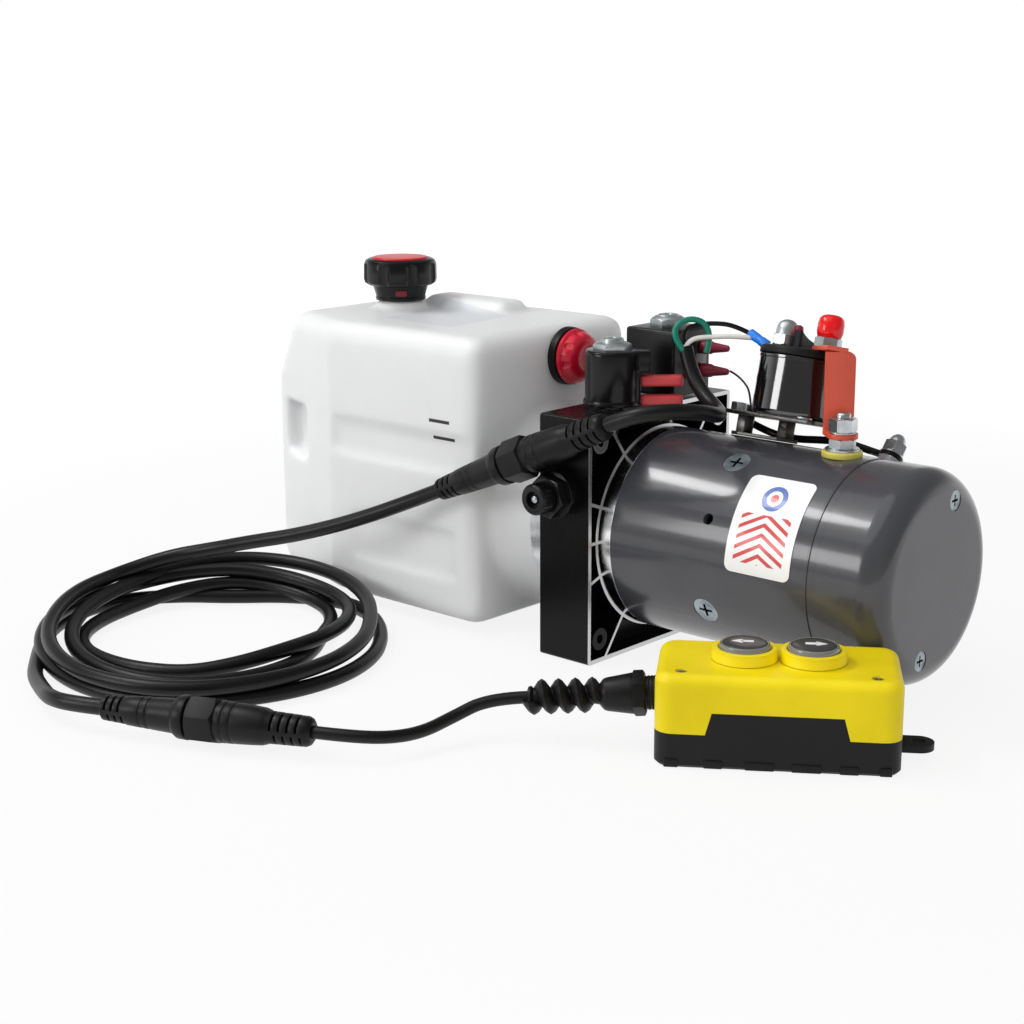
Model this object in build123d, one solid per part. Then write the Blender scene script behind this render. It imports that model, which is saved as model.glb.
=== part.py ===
from build123d import *
from math import atan2, cos, degrees, pi, radians, sin, sqrt, tan
import os

os.makedirs("parts", exist_ok=True)

# A 12 V hydraulic power unit: an oil tank, a manifold with a gear pump and two cartridge valves, a DC
# motor with its contactor, and a pendant hand control on a coiled cord.
# Millimetres. The origin is the centre of the manifold's bottom face, +Z is up, +X runs along the
# motor's shaft from the manifold to the motor's end cap, and -Y is the side of the relief valve.

# ---------------------------------------------------------------- fits
SEAT_GAP = 0.1          # radial gap of a round seat that doesn't move
RUN_GAP = 0.05          # radial gap of a running shaft
SLIDE_GAP = 0.3         # gap around a piece that slides
FACE_GAP = 0.3          # gap between faces on different bodies

# ---------------------------------------------------------------- manifold
MANIFOLD_THICKNESS = 35.4
MANIFOLD_WIDTH = 128.6
MANIFOLD_HEIGHT = 139.0
MANIFOLD_EDGE = 2.0
RIM_WALL = 2.5
POCKET_DEPTH = 14.0
RIB_THICKNESS = 1.8
RIB_ANGLES = (0, 20, -20, 54, -54)
BOSS_RADIUS = 6.3
BOSS_HOLE_RADIUS = 2.6
BOSS_INSET_Y = 10.3
BOSS_INSET_Z = 13.5
SPIGOT_RADIUS = 49.8
SPIGOT_LENGTH = 14.0
COUPLING_CAVITY_RADIUS = 16.0
FOOT_SPACING = 76.0
FOOT_HOLE_RADIUS = 4.25
FOOT_HOLE_DEPTH = 18.0
PORT_RADIUS = 7.0
PORT_DEPTH = 16.0
PORT_HEIGHTS = (48.0, 92.0)

# ---------------------------------------------------------------- motor
AXIS_HEIGHT = 69.5
MOTOR_RADIUS = 57.15
HEAD_LENGTH = 9.3
HOUSING_LENGTH = 125.7
END_CAP_LENGTH = 42.9
END_CAP_ROUND = 13.8
MOTOR_WALL = 4.0
SHAFT_RADIUS = 6.0
BUSH_RADIUS = 9.0
TANG_THICKNESS = 4.0
TANG_LENGTH = 6.0
COUPLING_X = 4.0
CORE_RADIUS = 37.0
CORE_START = 32.0
CORE_LENGTH = 75.0
WINDING_RADIUS = 33.0
WINDING_LENGTH = 9.0
COMMUTATOR_RADIUS = 18.0
COMMUTATOR_START = 118.0
COMMUTATOR_LENGTH = 17.0
SHOE_ANGLE = 62.0
SHOE_GAP = 1.5
POLE_SCREW_X = 70.0
POLE_SCREW_ANGLE = 27.0
POLE_HEAD_RADIUS = 7.6
POLE_SHANK_RADIUS = 4.0
END_SCREW_RADIUS = 42.0
END_SCREW_ANGLES = (-20.0, 162.0)
END_SCREW_HEAD = 5.4
TAPPED_HOLE_ANGLE = 64.6
TAPPED_HOLE_RADIUS = 3.0
LABEL_START = 86.0
LABEL_LENGTH = 40.0
LABEL_ANGLES = (34.0, 89.0)
LABEL_THICKNESS = 0.3
LABEL_CORNER = 4.0
SEAM_START = 1.0
SEAM_WIDTH = 4.5
SEAM_DEPTH = 0.5

# ---------------------------------------------------------------- motor studs
TERMINAL_X = 118.5
TERMINAL_RADIUS = 4.0
INSULATOR_RADIUS = 12.0
INSULATOR_SLEEVE = 6.4
INSULATOR_FLANGE = 2.6
TERMINAL_LOWER_NUT = 6.6
TERMINAL_UPPER_NUT = 7.0
TERMINAL_NUT_FLATS = 13.0
TERMINAL_TIP = 4.4
GROUND_X = 120.5
GROUND_ANGLE = -43.0
GROUND_RADIUS = 3.0
GROUND_NUT_FLATS = 11.5
GROUND_BASE_NUT = 8.0
GROUND_LUG = 1.6
GROUND_TOP_NUT = 8.0
GROUND_TIP = 4.0

# ---------------------------------------------------------------- pump
GEAR_MODULE = 2.0
GEAR_TEETH = 12
GEAR_WIDTH = 18.0
GEAR_SIDE_GAP = 0.1
PUMP_WALL = 9.8
PUMP_COVER_LENGTH = 14.0
PUMP_BOLT_RADIUS = 2.5
PUMP_BOLT_HEAD = 4.2
PUMP_BOLT_REACH = 10.0
SUCTION_RADIUS = 7.0
RETURN_RADIUS = 5.0
OIL_TUBE_WALL = 1.5
SUCTION_Y = 34.0
SUCTION_Z = 62.0
RETURN_Y = -34.0
RETURN_Z = 78.0
TUBE_SOCKET = 6.0
STRAINER_RADIUS = 15.0
STRAINER_WALL = 1.2
STRAINER_LENGTH = 26.0

# ---------------------------------------------------------------- tank
TANK_NEAR_GAP = 44.6
TANK_LENGTH = 204.0
TANK_WIDTH = 138.0
TANK_BOTTOM = 5.4
TANK_TOP = 175.5
TANK_WALL = 3.0
TANK_EDGE = 11.0
TANK_SIDE_TAPER_LENGTH = 80.0
TANK_SIDE_TAPER = 27.0
TANK_TOP_TAPER_LENGTH = 28.0
TANK_TOP_TAPER = 42.0
WAIST_LOW = 95.0
WAIST_HIGH = 127.0
WAIST_DEPTH = 3.0
NECK_RADIUS = 53.4
FILLER_X = -192.0
FILLER_NECK_RADIUS = 14.8
FILLER_BORE_RADIUS = 11.0
FILLER_NECK_TOP = 181.0
CAP_COLLAR_RADIUS = 16.8
CAP_COLLAR_HEIGHT = 9.5
CAP_RADIUS = 22.0
CAP_LOBES = 10
CAP_LOBE_RADIUS = 5.0
CAP_HEIGHT = 16.5
CAP_DISC_RADIUS = 17.5
CAP_DISC_HEIGHT = 1.2
CAP_PLUG_LENGTH = 16.0
DIPSTICK_RADIUS = 2.2
DIPSTICK_LENGTH = 118.0
FILL_PLUG_Y = 10.0
FILL_PLUG_Z = 157.5
FILL_PLUG_RADIUS = 16.0
FILL_PLUG_STEM = 9.0
FILL_PLUG_STEM_LENGTH = 12.0
FILL_PLUG_DISC = 5.0
FILL_PLUG_GRIP = 8.0
FILL_PLUG_GRIP_RADIUS = 13.2
GASKET_THICKNESS = 2.6
GASKET_RADIUS = 17.2
O_RING_SECTION = 2.6
CLAMP_WIDTH = 12.0
CLAMP_THICKNESS = 1.0
CLAMP_SCREW_RADIUS = 4.5
CLAMP_SCREW_LENGTH = 22.0

# ---------------------------------------------------------------- relief valve
RELIEF_Z = 97.0
RELIEF_FLANGE_RADIUS = 12.8
RELIEF_FLANGE = 8.0
RELIEF_BODY_RADIUS = 10.5
RELIEF_BODY = 9.0
RELIEF_CAP_RADIUS = 8.2
RELIEF_CAP = 9.0
RELIEF_BORE_RADIUS = 8.0
RELIEF_CARTRIDGE = 30.0
RELIEF_HOLLOW_RADIUS = 4.5
POPPET_RADIUS = 4.2
POPPET_LENGTH = 9.0
POPPET_TRAVEL = 3.0

# ---------------------------------------------------------------- cartridge valves: front and rear
VALVE_Y = (-23.4, 27.0)
VALVE_BORE_RADIUS = 9.0
VALVE_BORE_DEPTH = 40.0
VALVE_FLANGE_FLATS = 24.0
VALVE_FLANGE = 2.0
STEM_RADIUS = 6.5
PLUNGER_RADIUS = 4.2
PLUNGER_LENGTH = 26.0
PLUNGER_TRAVEL = 2.5
PLUNGER_BORE_RADIUS = 4.5
COIL_HEIGHTS = (30.4, 38.1)
COIL_ROUND_RADIUS = 15.3
COIL_SQUARE = 34.8
COIL_NUT_FLATS = 19.0
COIL_NUT = 6.6
SPADE_STARTS = (15.6, 21.0)
SPADE_LENGTHS = (24.0, 17.0)
SPADE_WIDTH = 7.2
SPADE_HEIGHT = 6.2
SPADE_BLADE_WIDTH = 5.0
SPADE_BLADE_HEIGHT = 0.8
SPADE_BLADE_LENGTH = 9.0
FRONT_SPADE_ANGLE = 43.0
REAR_SPADE_ANGLE = 14.0
FRONT_SPADE_HEIGHTS = (142.7, 154.5)
REAR_SPADE_HEIGHTS = (155.0, 168.3)
TERMINAL_BLOCK_REACH = 21.0
TERMINAL_BLOCK_WIDTH = 17.0
HOOD_GAP = 1.5
TERMINAL_BLOCK_HEIGHTS = (44.0, 23.0)

# ---------------------------------------------------------------- contactor
CONTACTOR_X = 75.0
CONTACTOR_TILT = 14.0
BRACKET_BASE_THICKNESS = 2.0
BRACKET_BASE_LENGTH = 44.0
BRACKET_BASE_WIDTH = 15.0
BRACKET_PLATE_HEIGHT = 68.6
BRACKET_PLATE_THICKNESS = 2.2
BRACKET_PLATE_START = -36.5
BRACKET_PLATE_END = 24.0
BRACKET_PLATE_WIDTH = 34.0
BRACKET_BOLTS = (-29.0, -2.0)
BRACKET_SPACER_FLATS = 9.0
BRACKET_NUT_FLATS = 8.0
BRACKET_NUT = 4.0
BRACKET_BOLT_RADIUS = 2.0
CAN_RADIUS = 23.5
CAN_WALL = 1.8
CAN_HEIGHT = 33.0
CAN_OFFSET = 1.5
WINDING_BORE = 9.0
CONTACTOR_PLUNGER_RADIUS = 8.5
CONTACTOR_PLUNGER_LENGTH = 22.0
CONTACTOR_TRAVEL = 2.5
CAP_PLATE = 4.5
BARRIER_HEIGHT = 9.0
BARRIER_THICKNESS = 5.0
STUD_SPACING = 27.0
STUD_RADIUS = 4.0
STUD_NUT_FLATS = 13.0
STUD_NUT = 6.0
STUD_HEIGHT = 15.5
BOOT_RADIUS = 7.2
BOOT_WALL = 2.4
BOOT_HEIGHT = 14.0
BUSBAR_THICKNESS = 2.4
BUSBAR_CORNER = 4.5
BUSBAR_WIDTH = 16.0
BUSBAR_FOOT_RADIUS = 8.0
BUSBAR_STANDOFF = 8.5

# ---------------------------------------------------------------- cord
CORD_RADIUS = 4.25
PENDANT_CORD_RADIUS = 3.2
WIRE_RADIUS = 1.3
THIN_WIRE_RADIUS = 0.6
GROUND_WIRE_RADIUS = 2.0
CORE_SPREAD = 1.6
LUG_RADIUS = 5.8
LUG_THICKNESS = 1.2
LUG_BARREL_RADIUS = 2.7
LUG_MOUTH = (-34.0, 0.0, 7.0)
COIL_CENTRE = (-168.0, -182.5)
COIL_OUTER = 108.0
COIL_INNER = 58.0
COIL_STACK = 28.0
CORNER_SHARE = 0.45
LEAD_RUN = 20.0         # straight run of a cord as it leaves a connector or the pendant

# Each connector is a row of steps along its axis, and its coupling nut rides on a waist.
UPPER_CONNECTOR_START = (-76.4, -84.0, 89.8)
UPPER_CONNECTOR_END = (39.6, -75.8, 141.2)
LOWER_CONNECTOR_START = (-98.4, -304.4, 13.0)
LOWER_CONNECTOR_END = (7.2, -257.6, 13.0)
BOOT_SHARE = 0.19
CONNECTOR_BOOT_RADIUS = 7.2
CONNECTOR_BODY_RADIUS = 10.2
CONNECTOR_WAIST_RADIUS = 8.4
CONNECTOR_NUT_START = 0.44
CONNECTOR_NUT_LENGTH = 18.0
CONNECTOR_NUT_FLATS = 22.0

UPPER_CORD = [
    (-129.0, -98.0, 66.5),
    (-165.0, -113.0, 54.0),
    (-197.5, -124.0, 46.0),
    (-226.0, -131.0, 38.0),
    (-252.0, -145.0, 32.5),
    (-263.5, -169.0, 30.5),
]
LOWER_CORD = [
    (37.1, -234.7, 11.2),
    (40.4, -216.2, 9.8),
    (41.7, -197.4, 12.4),
]
COIL_TAIL = [
    (-134.5, -311.5, 11.5),
    (-153.0, -303.0, 8.5),
    (-171.0, -294.5, 6.5),
    (-181.0, -289.5, 5.5),
]
HARNESS = [
    (73.1, -61.9, 150.8),
    (78.2, -42.7, 148.0),
    (74.2, -23.7, 143.0),
    (62.2, -7.7, 141.8),
    (47.0, -2.0, 148.5),
    (35.5, 1.5, 161.0),
    (29.5, 3.5, 177.0),
]

# The thin leads: the two cores' crests, the rear coil's lead and the ground lead behind the terminal stud.
BLACK_CORE_CREST = [(27.0, 6.5, 183.5), (33.0, 12.0, 187.5), (47.0, 20.5, 186.0)]
WHITE_CORE_CREST = [(28.5, 3.0, 181.2), (33.5, 7.5, 184.0), (47.0, 16.5, 182.5)]
COIL_LEAD_START = [(37.4, 36.4, 155.0), (50.0, 38.0, 153.5)]
# These two are measured along the motor from its mounting face, so that they follow it.
COIL_LEAD_END = [(40.3, 31.0, 146.0), (42.3, 26.0, 136.9)]
GROUND_LEAD = [(40.3, 26.0, 131.0), (54.3, 25.0, 126.5), (72.3, 25.0, 125.0), (90.3, 27.0, 124.0),
               (104.3, 33.0, 121.0), (113.3, 39.0, 119.0)]

# ---------------------------------------------------------------- pendant
PENDANT_BEFORE_MOTOR_END = 27.6
PENDANT_SIDE = -100.0
PENDANT_ANGLE = 34.5
PENDANT_LENGTH = 117.0
PENDANT_DEPTH = 60.0
PENDANT_HEIGHT = 46.0
PENDANT_CORNER = 9.0
PENDANT_TOP_ROUND = 5.0
PENDANT_WALL = 2.6
PARTING_LOW = 17.0
PARTING_HIGH = 28.0
PARTING_STEP = (34.0, 31.0)
BUTTON_SPACING = 33.0
COLLAR_RADIUS = 15.8
COLLAR_HEIGHT = 6.0
BUTTON_RADIUS = 10.8
BUTTON_RIM_RADIUS = 12.5
BUTTON_PROUD = 3.0
BUTTON_RIM_DROP = 0.6
BUTTON_LENGTH = 12.0
BUTTON_TRAVEL = 2.6
COVER_SCREW_INSETS = (12.5, 8.5)
COVER_SCREW_HEAD = 2.9
COVER_SCREW_RADIUS = 1.6
COVER_SCREW_RECESS = 1.4
POST_RADIUS = 3.6
SWITCH_WIDTH = 20.0
SWITCH_DEPTH = 26.0
EYE_LENGTH = 17.0
EYE_WIDTH = 15.0
EYE_THICKNESS = 3.5
EYE_HEIGHT = 4.2
EYE_HOLE_RADIUS = 3.4
GLAND_HEIGHT = 27.0
GLAND_DROP = 5.4
GLAND_NUT_FLATS = 19.8
GLAND_NUT = 6.0
GLAND_NECK_RADIUS = 8.7
GLAND_NECK = 5.7
RELIEF_SLEEVE_RADIUS = 9.0
RELIEF_SLEEVE = 15.0
RELIEF_RIBS = 4
RELIEF_RIB_PITCH = 9.325
RELIEF_RIB_RADIUS = 8.8
RELIEF_CORE_RADIUS = 4.4

# ---------------------------------------------------------------- places that follow from the sizes
MOTOR_FACE = MANIFOLD_THICKNESS / 2
PUMP_FACE = -MANIFOLD_THICKNESS / 2 - SPIGOT_LENGTH
HOUSING_START = MOTOR_FACE + HEAD_LENGTH
HOUSING_END = HOUSING_START + HOUSING_LENGTH
MOTOR_END = HOUSING_END + END_CAP_LENGTH
BORE_RADIUS = MOTOR_RADIUS - MOTOR_WALL
TANK_NEAR = -MANIFOLD_THICKNESS / 2 - TANK_NEAR_GAP
TANK_FAR = TANK_NEAR - TANK_LENGTH
HALF_WIDTH = TANK_WIDTH / 2
GEAR_CENTRES = GEAR_MODULE * GEAR_TEETH
GEAR_TIP = GEAR_MODULE * (GEAR_TEETH / 2 + 1)
GEAR_ROOT = GEAR_MODULE * (GEAR_TEETH / 2 - 1.25)
PUMP_RADIUS = GEAR_TIP + PUMP_WALL
IDLER_Z = AXIS_HEIGHT - GEAR_CENTRES
PUMP_BODY_END = PUMP_FACE - GEAR_WIDTH - 2 * GEAR_SIDE_GAP
PUMP_END = PUMP_BODY_END - PUMP_COVER_LENGTH
CONTACTOR = Plane(origin=(MOTOR_FACE + CONTACTOR_X, 0, AXIS_HEIGHT), x_dir=(1, 0, 0),
                  z_dir=(0, sin(radians(CONTACTOR_TILT)), cos(radians(CONTACTOR_TILT))))
CAN_BASE = BRACKET_PLATE_HEIGHT + BRACKET_PLATE_THICKNESS
CAP_BASE = CAN_BASE + CAN_HEIGHT
STUD_BASE = CAP_BASE + CAP_PLATE
PENDANT = Plane(origin=(MOTOR_END - PENDANT_BEFORE_MOTOR_END, PENDANT_SIDE, 0),
                x_dir=(cos(radians(PENDANT_ANGLE)), sin(radians(PENDANT_ANGLE)), 0), z_dir=(0, 0, 1))


# ---------------------------------------------------------------- helpers
def aimed(start, end):
    """The plane at start that looks towards end, and the distance between the two."""
    start = Vector(*start)
    end = Vector(*end)
    return Plane(origin=start, z_dir=end - start), (end - start).length


def rod(radius, start, end):
    """A cylinder from start to end."""
    plane, length = aimed(start, end)
    return plane * Pos(0, 0, length / 2) * Cylinder(radius, length)


def pipe(outer, inner, start, end):
    """A tube from start to end."""
    return rod(outer, start, end) - rod(inner, start, end)


def cone(start_radius, end_radius, start, end):
    """A cone frustum from start to end."""
    plane, length = aimed(start, end)
    return plane * Pos(0, 0, length / 2) * Cone(start_radius, end_radius, length)


def hexagon(flats, start, end, turn=0):
    """A hexagonal prism, measured across its flats, from start to end."""
    plane, length = aimed(start, end)
    outline = RegularPolygon(flats / 2, 6, major_radius=False, rotation=turn)
    return plane * extrude(outline, length)


def block(low, high):
    """A box between its lowest and highest corners."""
    size = [top - bottom for bottom, top in zip(low, high)]
    middle = [(top + bottom) / 2 for bottom, top in zip(low, high)]
    return Pos(*middle) * Box(*size)


def polar(radius, angle):
    """Y and Z of a point round the motor's axis, its angle counted from the top towards -Y."""
    return -radius * sin(radians(angle)), AXIS_HEIGHT + radius * cos(radians(angle))


def outward(x, start_radius, end_radius, angle):
    """Two points on a radius of the motor, for a screw or stud that stands on it."""
    return (x, *polar(start_radius, angle)), (x, *polar(end_radius, angle))


def group(pieces):
    """Separate solids that share one node."""
    solids = []
    for piece in pieces:
        solids.extend(piece.solids())
    return Compound(children=solids)


def corner_radii(points):
    """The arc of each corner of a cord: 0.45 of the shorter run over the tangent of half the turn."""
    radii = []
    for before, corner, after in zip(points, points[1:], points[2:]):
        first = Vector(*corner) - Vector(*before)
        second = Vector(*after) - Vector(*corner)
        half_turn = radians(first.get_angle(second)) / 2
        radii.append(CORNER_SHARE * min(first.length, second.length) / tan(half_turn))
    return radii


def beyond(start, end):
    """A point past end on the line from start, one lead run away."""
    start = Vector(*start)
    end = Vector(*end)
    return tuple(end + (end - start).normalized() * LEAD_RUN)


def lead(points, radius):
    """A wire along straight runs joined by tangent arcs."""
    path = FilletPolyline(*points, radius=corner_radii(points))
    start = Plane(origin=points[0], z_dir=Vector(*points[1]) - Vector(*points[0]))
    return sweep(start * Circle(radius), path=path)


def cord(name, points, radius):
    """A cord of the same make, with its arcs and volume printed."""
    radii = corner_radii(points)
    path = FilletPolyline(*points, radius=radii)
    solid = lead(points, radius)
    share = solid.volume / (pi * radius ** 2 * path.length)
    bends = [round(radius) for radius in radii]
    print(name, "length", round(path.length), "arcs", bends, "volume share", round(share, 4))
    return solid


def write(name, shape):
    """One node's file."""
    export_step(shape, f"parts/{name}.step")


# ---------------------------------------------------------------- manifold block
def manifold():
    half = MANIFOLD_THICKNESS / 2
    wide = MANIFOLD_WIDTH / 2
    body = block((-half, -wide, 0), (half, wide, MANIFOLD_HEIGHT))
    body = fillet(body.edges().filter_by(Axis.X), MANIFOLD_EDGE)
    body += rod(SPIGOT_RADIUS, (-half, 0, AXIS_HEIGHT), (PUMP_FACE, 0, AXIS_HEIGHT))
    body -= motor_face_pockets()
    body -= o_ring_groove()
    body -= rod(COUPLING_CAVITY_RADIUS, (0, 0, AXIS_HEIGHT), (half, 0, AXIS_HEIGHT))
    body -= rod(SHAFT_RADIUS + RUN_GAP, (PUMP_FACE, 0, AXIS_HEIGHT), (half, 0, AXIS_HEIGHT))
    body -= rod(SHAFT_RADIUS + RUN_GAP, (PUMP_FACE, 0, IDLER_Z), (PUMP_FACE + 12, 0, IDLER_Z))
    for y, z in pump_bolt_places():
        body -= rod(PUMP_BOLT_RADIUS + SEAT_GAP, (PUMP_FACE, y, z), (PUMP_FACE + PUMP_BOLT_REACH + 1, y, z))
    for side in (-1, 1):
        y = side * FOOT_SPACING / 2
        body -= rod(FOOT_HOLE_RADIUS, (0, y, 0), (0, y, FOOT_HOLE_DEPTH))
    for z in PORT_HEIGHTS:
        body -= rod(PORT_RADIUS, (0, wide, z), (0, wide - PORT_DEPTH, z))
    body -= rod(RELIEF_BORE_RADIUS + SEAT_GAP, (0, -wide, RELIEF_Z), (0, RELIEF_CARTRIDGE + 2 - wide, RELIEF_Z))
    for y in VALVE_Y:
        top = (0, y, MANIFOLD_HEIGHT)
        body -= rod(VALVE_BORE_RADIUS + SEAT_GAP, top, (0, y, MANIFOLD_HEIGHT - VALVE_BORE_DEPTH - 2))
    for y, z, radius in oil_tube_places():
        body -= rod(radius + SEAT_GAP, (PUMP_FACE, y, z), (PUMP_FACE + TUBE_SOCKET, y, z))
    return body


def motor_face_pockets():
    """The cast pockets between the rim, the ribs, the corner bosses and the motor's seat."""
    face = MANIFOLD_THICKNESS / 2
    wide = MANIFOLD_WIDTH / 2 - RIM_WALL
    depth = face - POCKET_DEPTH
    pocket = block((depth, -wide, RIM_WALL), (face, wide, MANIFOLD_HEIGHT - RIM_WALL))
    pocket -= rod(MOTOR_RADIUS + 1, (depth, 0, AXIS_HEIGHT), (face, 0, AXIS_HEIGHT))
    reach = MANIFOLD_WIDTH
    for angle in RIB_ANGLES:
        rib = block((depth, -reach, -RIB_THICKNESS / 2), (face, reach, RIB_THICKNESS / 2))
        pocket -= Pos(0, 0, AXIS_HEIGHT) * Rot(angle, 0, 0) * rib
    for y, z in boss_places():
        pocket -= rod(BOSS_RADIUS, (depth, y, z), (face, y, z))
        pocket += rod(BOSS_HOLE_RADIUS, (depth, y, z), (face, y, z))
    return pocket


def boss_places():
    y = MANIFOLD_WIDTH / 2 - BOSS_INSET_Y
    low = BOSS_INSET_Z
    high = MANIFOLD_HEIGHT - BOSS_INSET_Z
    return [(side * y, z) for side in (-1, 1) for z in (low, high)]


def o_ring_groove():
    middle = PUMP_FACE + SPIGOT_LENGTH / 2
    ends = ((middle - O_RING_SECTION / 2, 0, AXIS_HEIGHT), (middle + O_RING_SECTION / 2, 0, AXIS_HEIGHT))
    return pipe(SPIGOT_RADIUS + 1, SPIGOT_RADIUS - O_RING_SECTION + 0.4, *ends)


def pump_bolt_places():
    """Two bolts at the waist of the pump and one at each end."""
    side = PUMP_RADIUS - PUMP_BOLT_HEAD - 1
    middle = (AXIS_HEIGHT + IDLER_Z) / 2
    end = GEAR_TIP + PUMP_WALL / 2
    return [(side, middle), (-side, middle), (0, AXIS_HEIGHT + end), (0, IDLER_Z - end)]


def oil_tube_places():
    return [(SUCTION_Y, SUCTION_Z, SUCTION_RADIUS), (RETURN_Y, RETURN_Z, RETURN_RADIUS)]


# ---------------------------------------------------------------- relief valve
def relief_valve():
    face = -MANIFOLD_WIDTH / 2
    z = RELIEF_Z
    flange_end = face - RELIEF_FLANGE
    body_end = flange_end - RELIEF_BODY
    valve = rod(RELIEF_FLANGE_RADIUS, (0, face, z), (0, flange_end, z))
    valve += rod(RELIEF_BODY_RADIUS, (0, flange_end, z), (0, body_end, z))
    valve += rod(RELIEF_BORE_RADIUS, (0, face, z), (0, face + RELIEF_CARTRIDGE, z))
    hollow = ((0, face + RELIEF_CARTRIDGE - 24, z), (0, face + RELIEF_CARTRIDGE, z))
    valve -= rod(RELIEF_HOLLOW_RADIUS, *hollow)
    cap = rod(RELIEF_CAP_RADIUS, (0, body_end, z), (0, body_end - RELIEF_CAP, z))
    cap = fillet(cap.edges().group_by(Axis.Y)[0], 1.2)
    cap -= hexagon(5, (0, body_end - RELIEF_CAP, z), (0, body_end - RELIEF_CAP + 4, z))
    return group([valve, cap])


def relief_poppet():
    tip = -MANIFOLD_WIDTH / 2 + RELIEF_CARTRIDGE - 1
    middle = tip - POPPET_LENGTH / 2
    poppet = rod(POPPET_RADIUS, (0, tip - POPPET_LENGTH, RELIEF_Z), (0, middle, RELIEF_Z))
    return poppet + cone(POPPET_RADIUS, 1.5, (0, middle, RELIEF_Z), (0, tip, RELIEF_Z))


# ---------------------------------------------------------------- cartridge valves
def valve_top(index):
    return MANIFOLD_HEIGHT + VALVE_FLANGE + COIL_HEIGHTS[index] + COIL_NUT


def valve_stem(index):
    y = VALVE_Y[index]
    floor = MANIFOLD_HEIGHT - VALVE_BORE_DEPTH
    flange_top = MANIFOLD_HEIGHT + VALVE_FLANGE
    tip = valve_top(index) + 1.5
    stem = rod(VALVE_BORE_RADIUS, (0, y, floor), (0, y, MANIFOLD_HEIGHT))
    stem += hexagon(VALVE_FLANGE_FLATS, (0, y, MANIFOLD_HEIGHT), (0, y, flange_top))
    stem += rod(STEM_RADIUS, (0, y, flange_top), (0, y, tip))
    return stem - rod(PLUNGER_BORE_RADIUS, (0, y, floor), (0, y, tip - 3))


def valve_plunger(index):
    """The plunger hangs at the foot of its bore and lifts when the coil pulls."""
    y = VALVE_Y[index]
    foot = MANIFOLD_HEIGHT - VALVE_BORE_DEPTH + 4
    pole = valve_top(index) + 1.5 - 3 - FACE_GAP - PLUNGER_TRAVEL
    return rod(PLUNGER_RADIUS, (0, y, foot), (0, y, pole))


def coil_nut(index):
    y = VALVE_Y[index]
    base = MANIFOLD_HEIGHT + VALVE_FLANGE + COIL_HEIGHTS[index]
    nut = hexagon(COIL_NUT_FLATS, (0, y, base), (0, y, base + COIL_NUT), turn=20)
    if index == 1:
        nut += rod(COIL_NUT_FLATS / 2 + 1.8, (0, y, base), (0, y, base + 1.6))
    return nut - rod(STEM_RADIUS + SEAT_GAP, (0, y, base), (0, y, base + COIL_NUT))


def spade_frame(index):
    """The frame of a coil's terminals: its origin on the valve's axis, +X out along the blades."""
    angle = (FRONT_SPADE_ANGLE, REAR_SPADE_ANGLE)[index]
    direction = (cos(radians(angle)), sin(radians(angle)), 0)
    return Plane(origin=(0, VALVE_Y[index], 0), x_dir=direction, z_dir=(0, 0, 1))


def valve_coil(index):
    y = VALVE_Y[index]
    base = MANIFOLD_HEIGHT + VALVE_FLANGE
    top = base + COIL_HEIGHTS[index]
    if index == 0:
        body = rod(COIL_ROUND_RADIUS, (0, y, base), (0, y, top))
        body = fillet(body.edges().group_by(Axis.Z)[-1], 1.0)
    else:
        half = COIL_SQUARE / 2
        body = block((-half, y - half, base), (half, y + half, top))
        body = fillet(body.edges(), 1.5)
    heights = (FRONT_SPADE_HEIGHTS, REAR_SPADE_HEIGHTS)[index]
    middle = sum(heights) / 2
    half = TERMINAL_BLOCK_WIDTH / 2
    low = max(base, middle - TERMINAL_BLOCK_HEIGHTS[index] / 2)
    high = min(top - 0.5, middle + TERMINAL_BLOCK_HEIGHTS[index] / 2)
    hood = max(heights) + SPADE_HEIGHT / 2 + HOOD_GAP
    frame = spade_frame(index)
    body += frame * block((0, -half, low), (SPADE_STARTS[index], half, high))
    body += frame * block((0, -half, hood), (TERMINAL_BLOCK_REACH, half, high))
    for z in heights:
        half_width = SPADE_BLADE_WIDTH / 2
        end = SPADE_STARTS[index] + SPADE_BLADE_LENGTH
        body += frame * block((SPADE_STARTS[index] - 2, -half_width, z - SPADE_BLADE_HEIGHT / 2),
                              (end, half_width, z + SPADE_BLADE_HEIGHT / 2))
    return body - rod(STEM_RADIUS + SEAT_GAP, (0, y, base), (0, y, top))


def spade_boots():
    """Insulated push-on terminals on the coils' blades."""
    boots = []
    for index, heights in enumerate((FRONT_SPADE_HEIGHTS, REAR_SPADE_HEIGHTS)):
        for z in heights:
            start = SPADE_STARTS[index]
            half = SPADE_WIDTH / 2
            low = (start, -half, z - SPADE_HEIGHT / 2)
            boot = block(low, (start + SPADE_LENGTHS[index], half, z + SPADE_HEIGHT / 2))
            boot = fillet(boot.edges().filter_by(Axis.X), 2.2)
            slot_half = SPADE_BLADE_WIDTH / 2 + SEAT_GAP
            slot_height = SPADE_BLADE_HEIGHT / 2 + SEAT_GAP
            boot -= block((start, -slot_half, z - slot_height),
                          (start + SPADE_BLADE_LENGTH + SEAT_GAP, slot_half, z + slot_height))
            boots.append(spade_frame(index) * boot)
    return group(boots)


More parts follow.
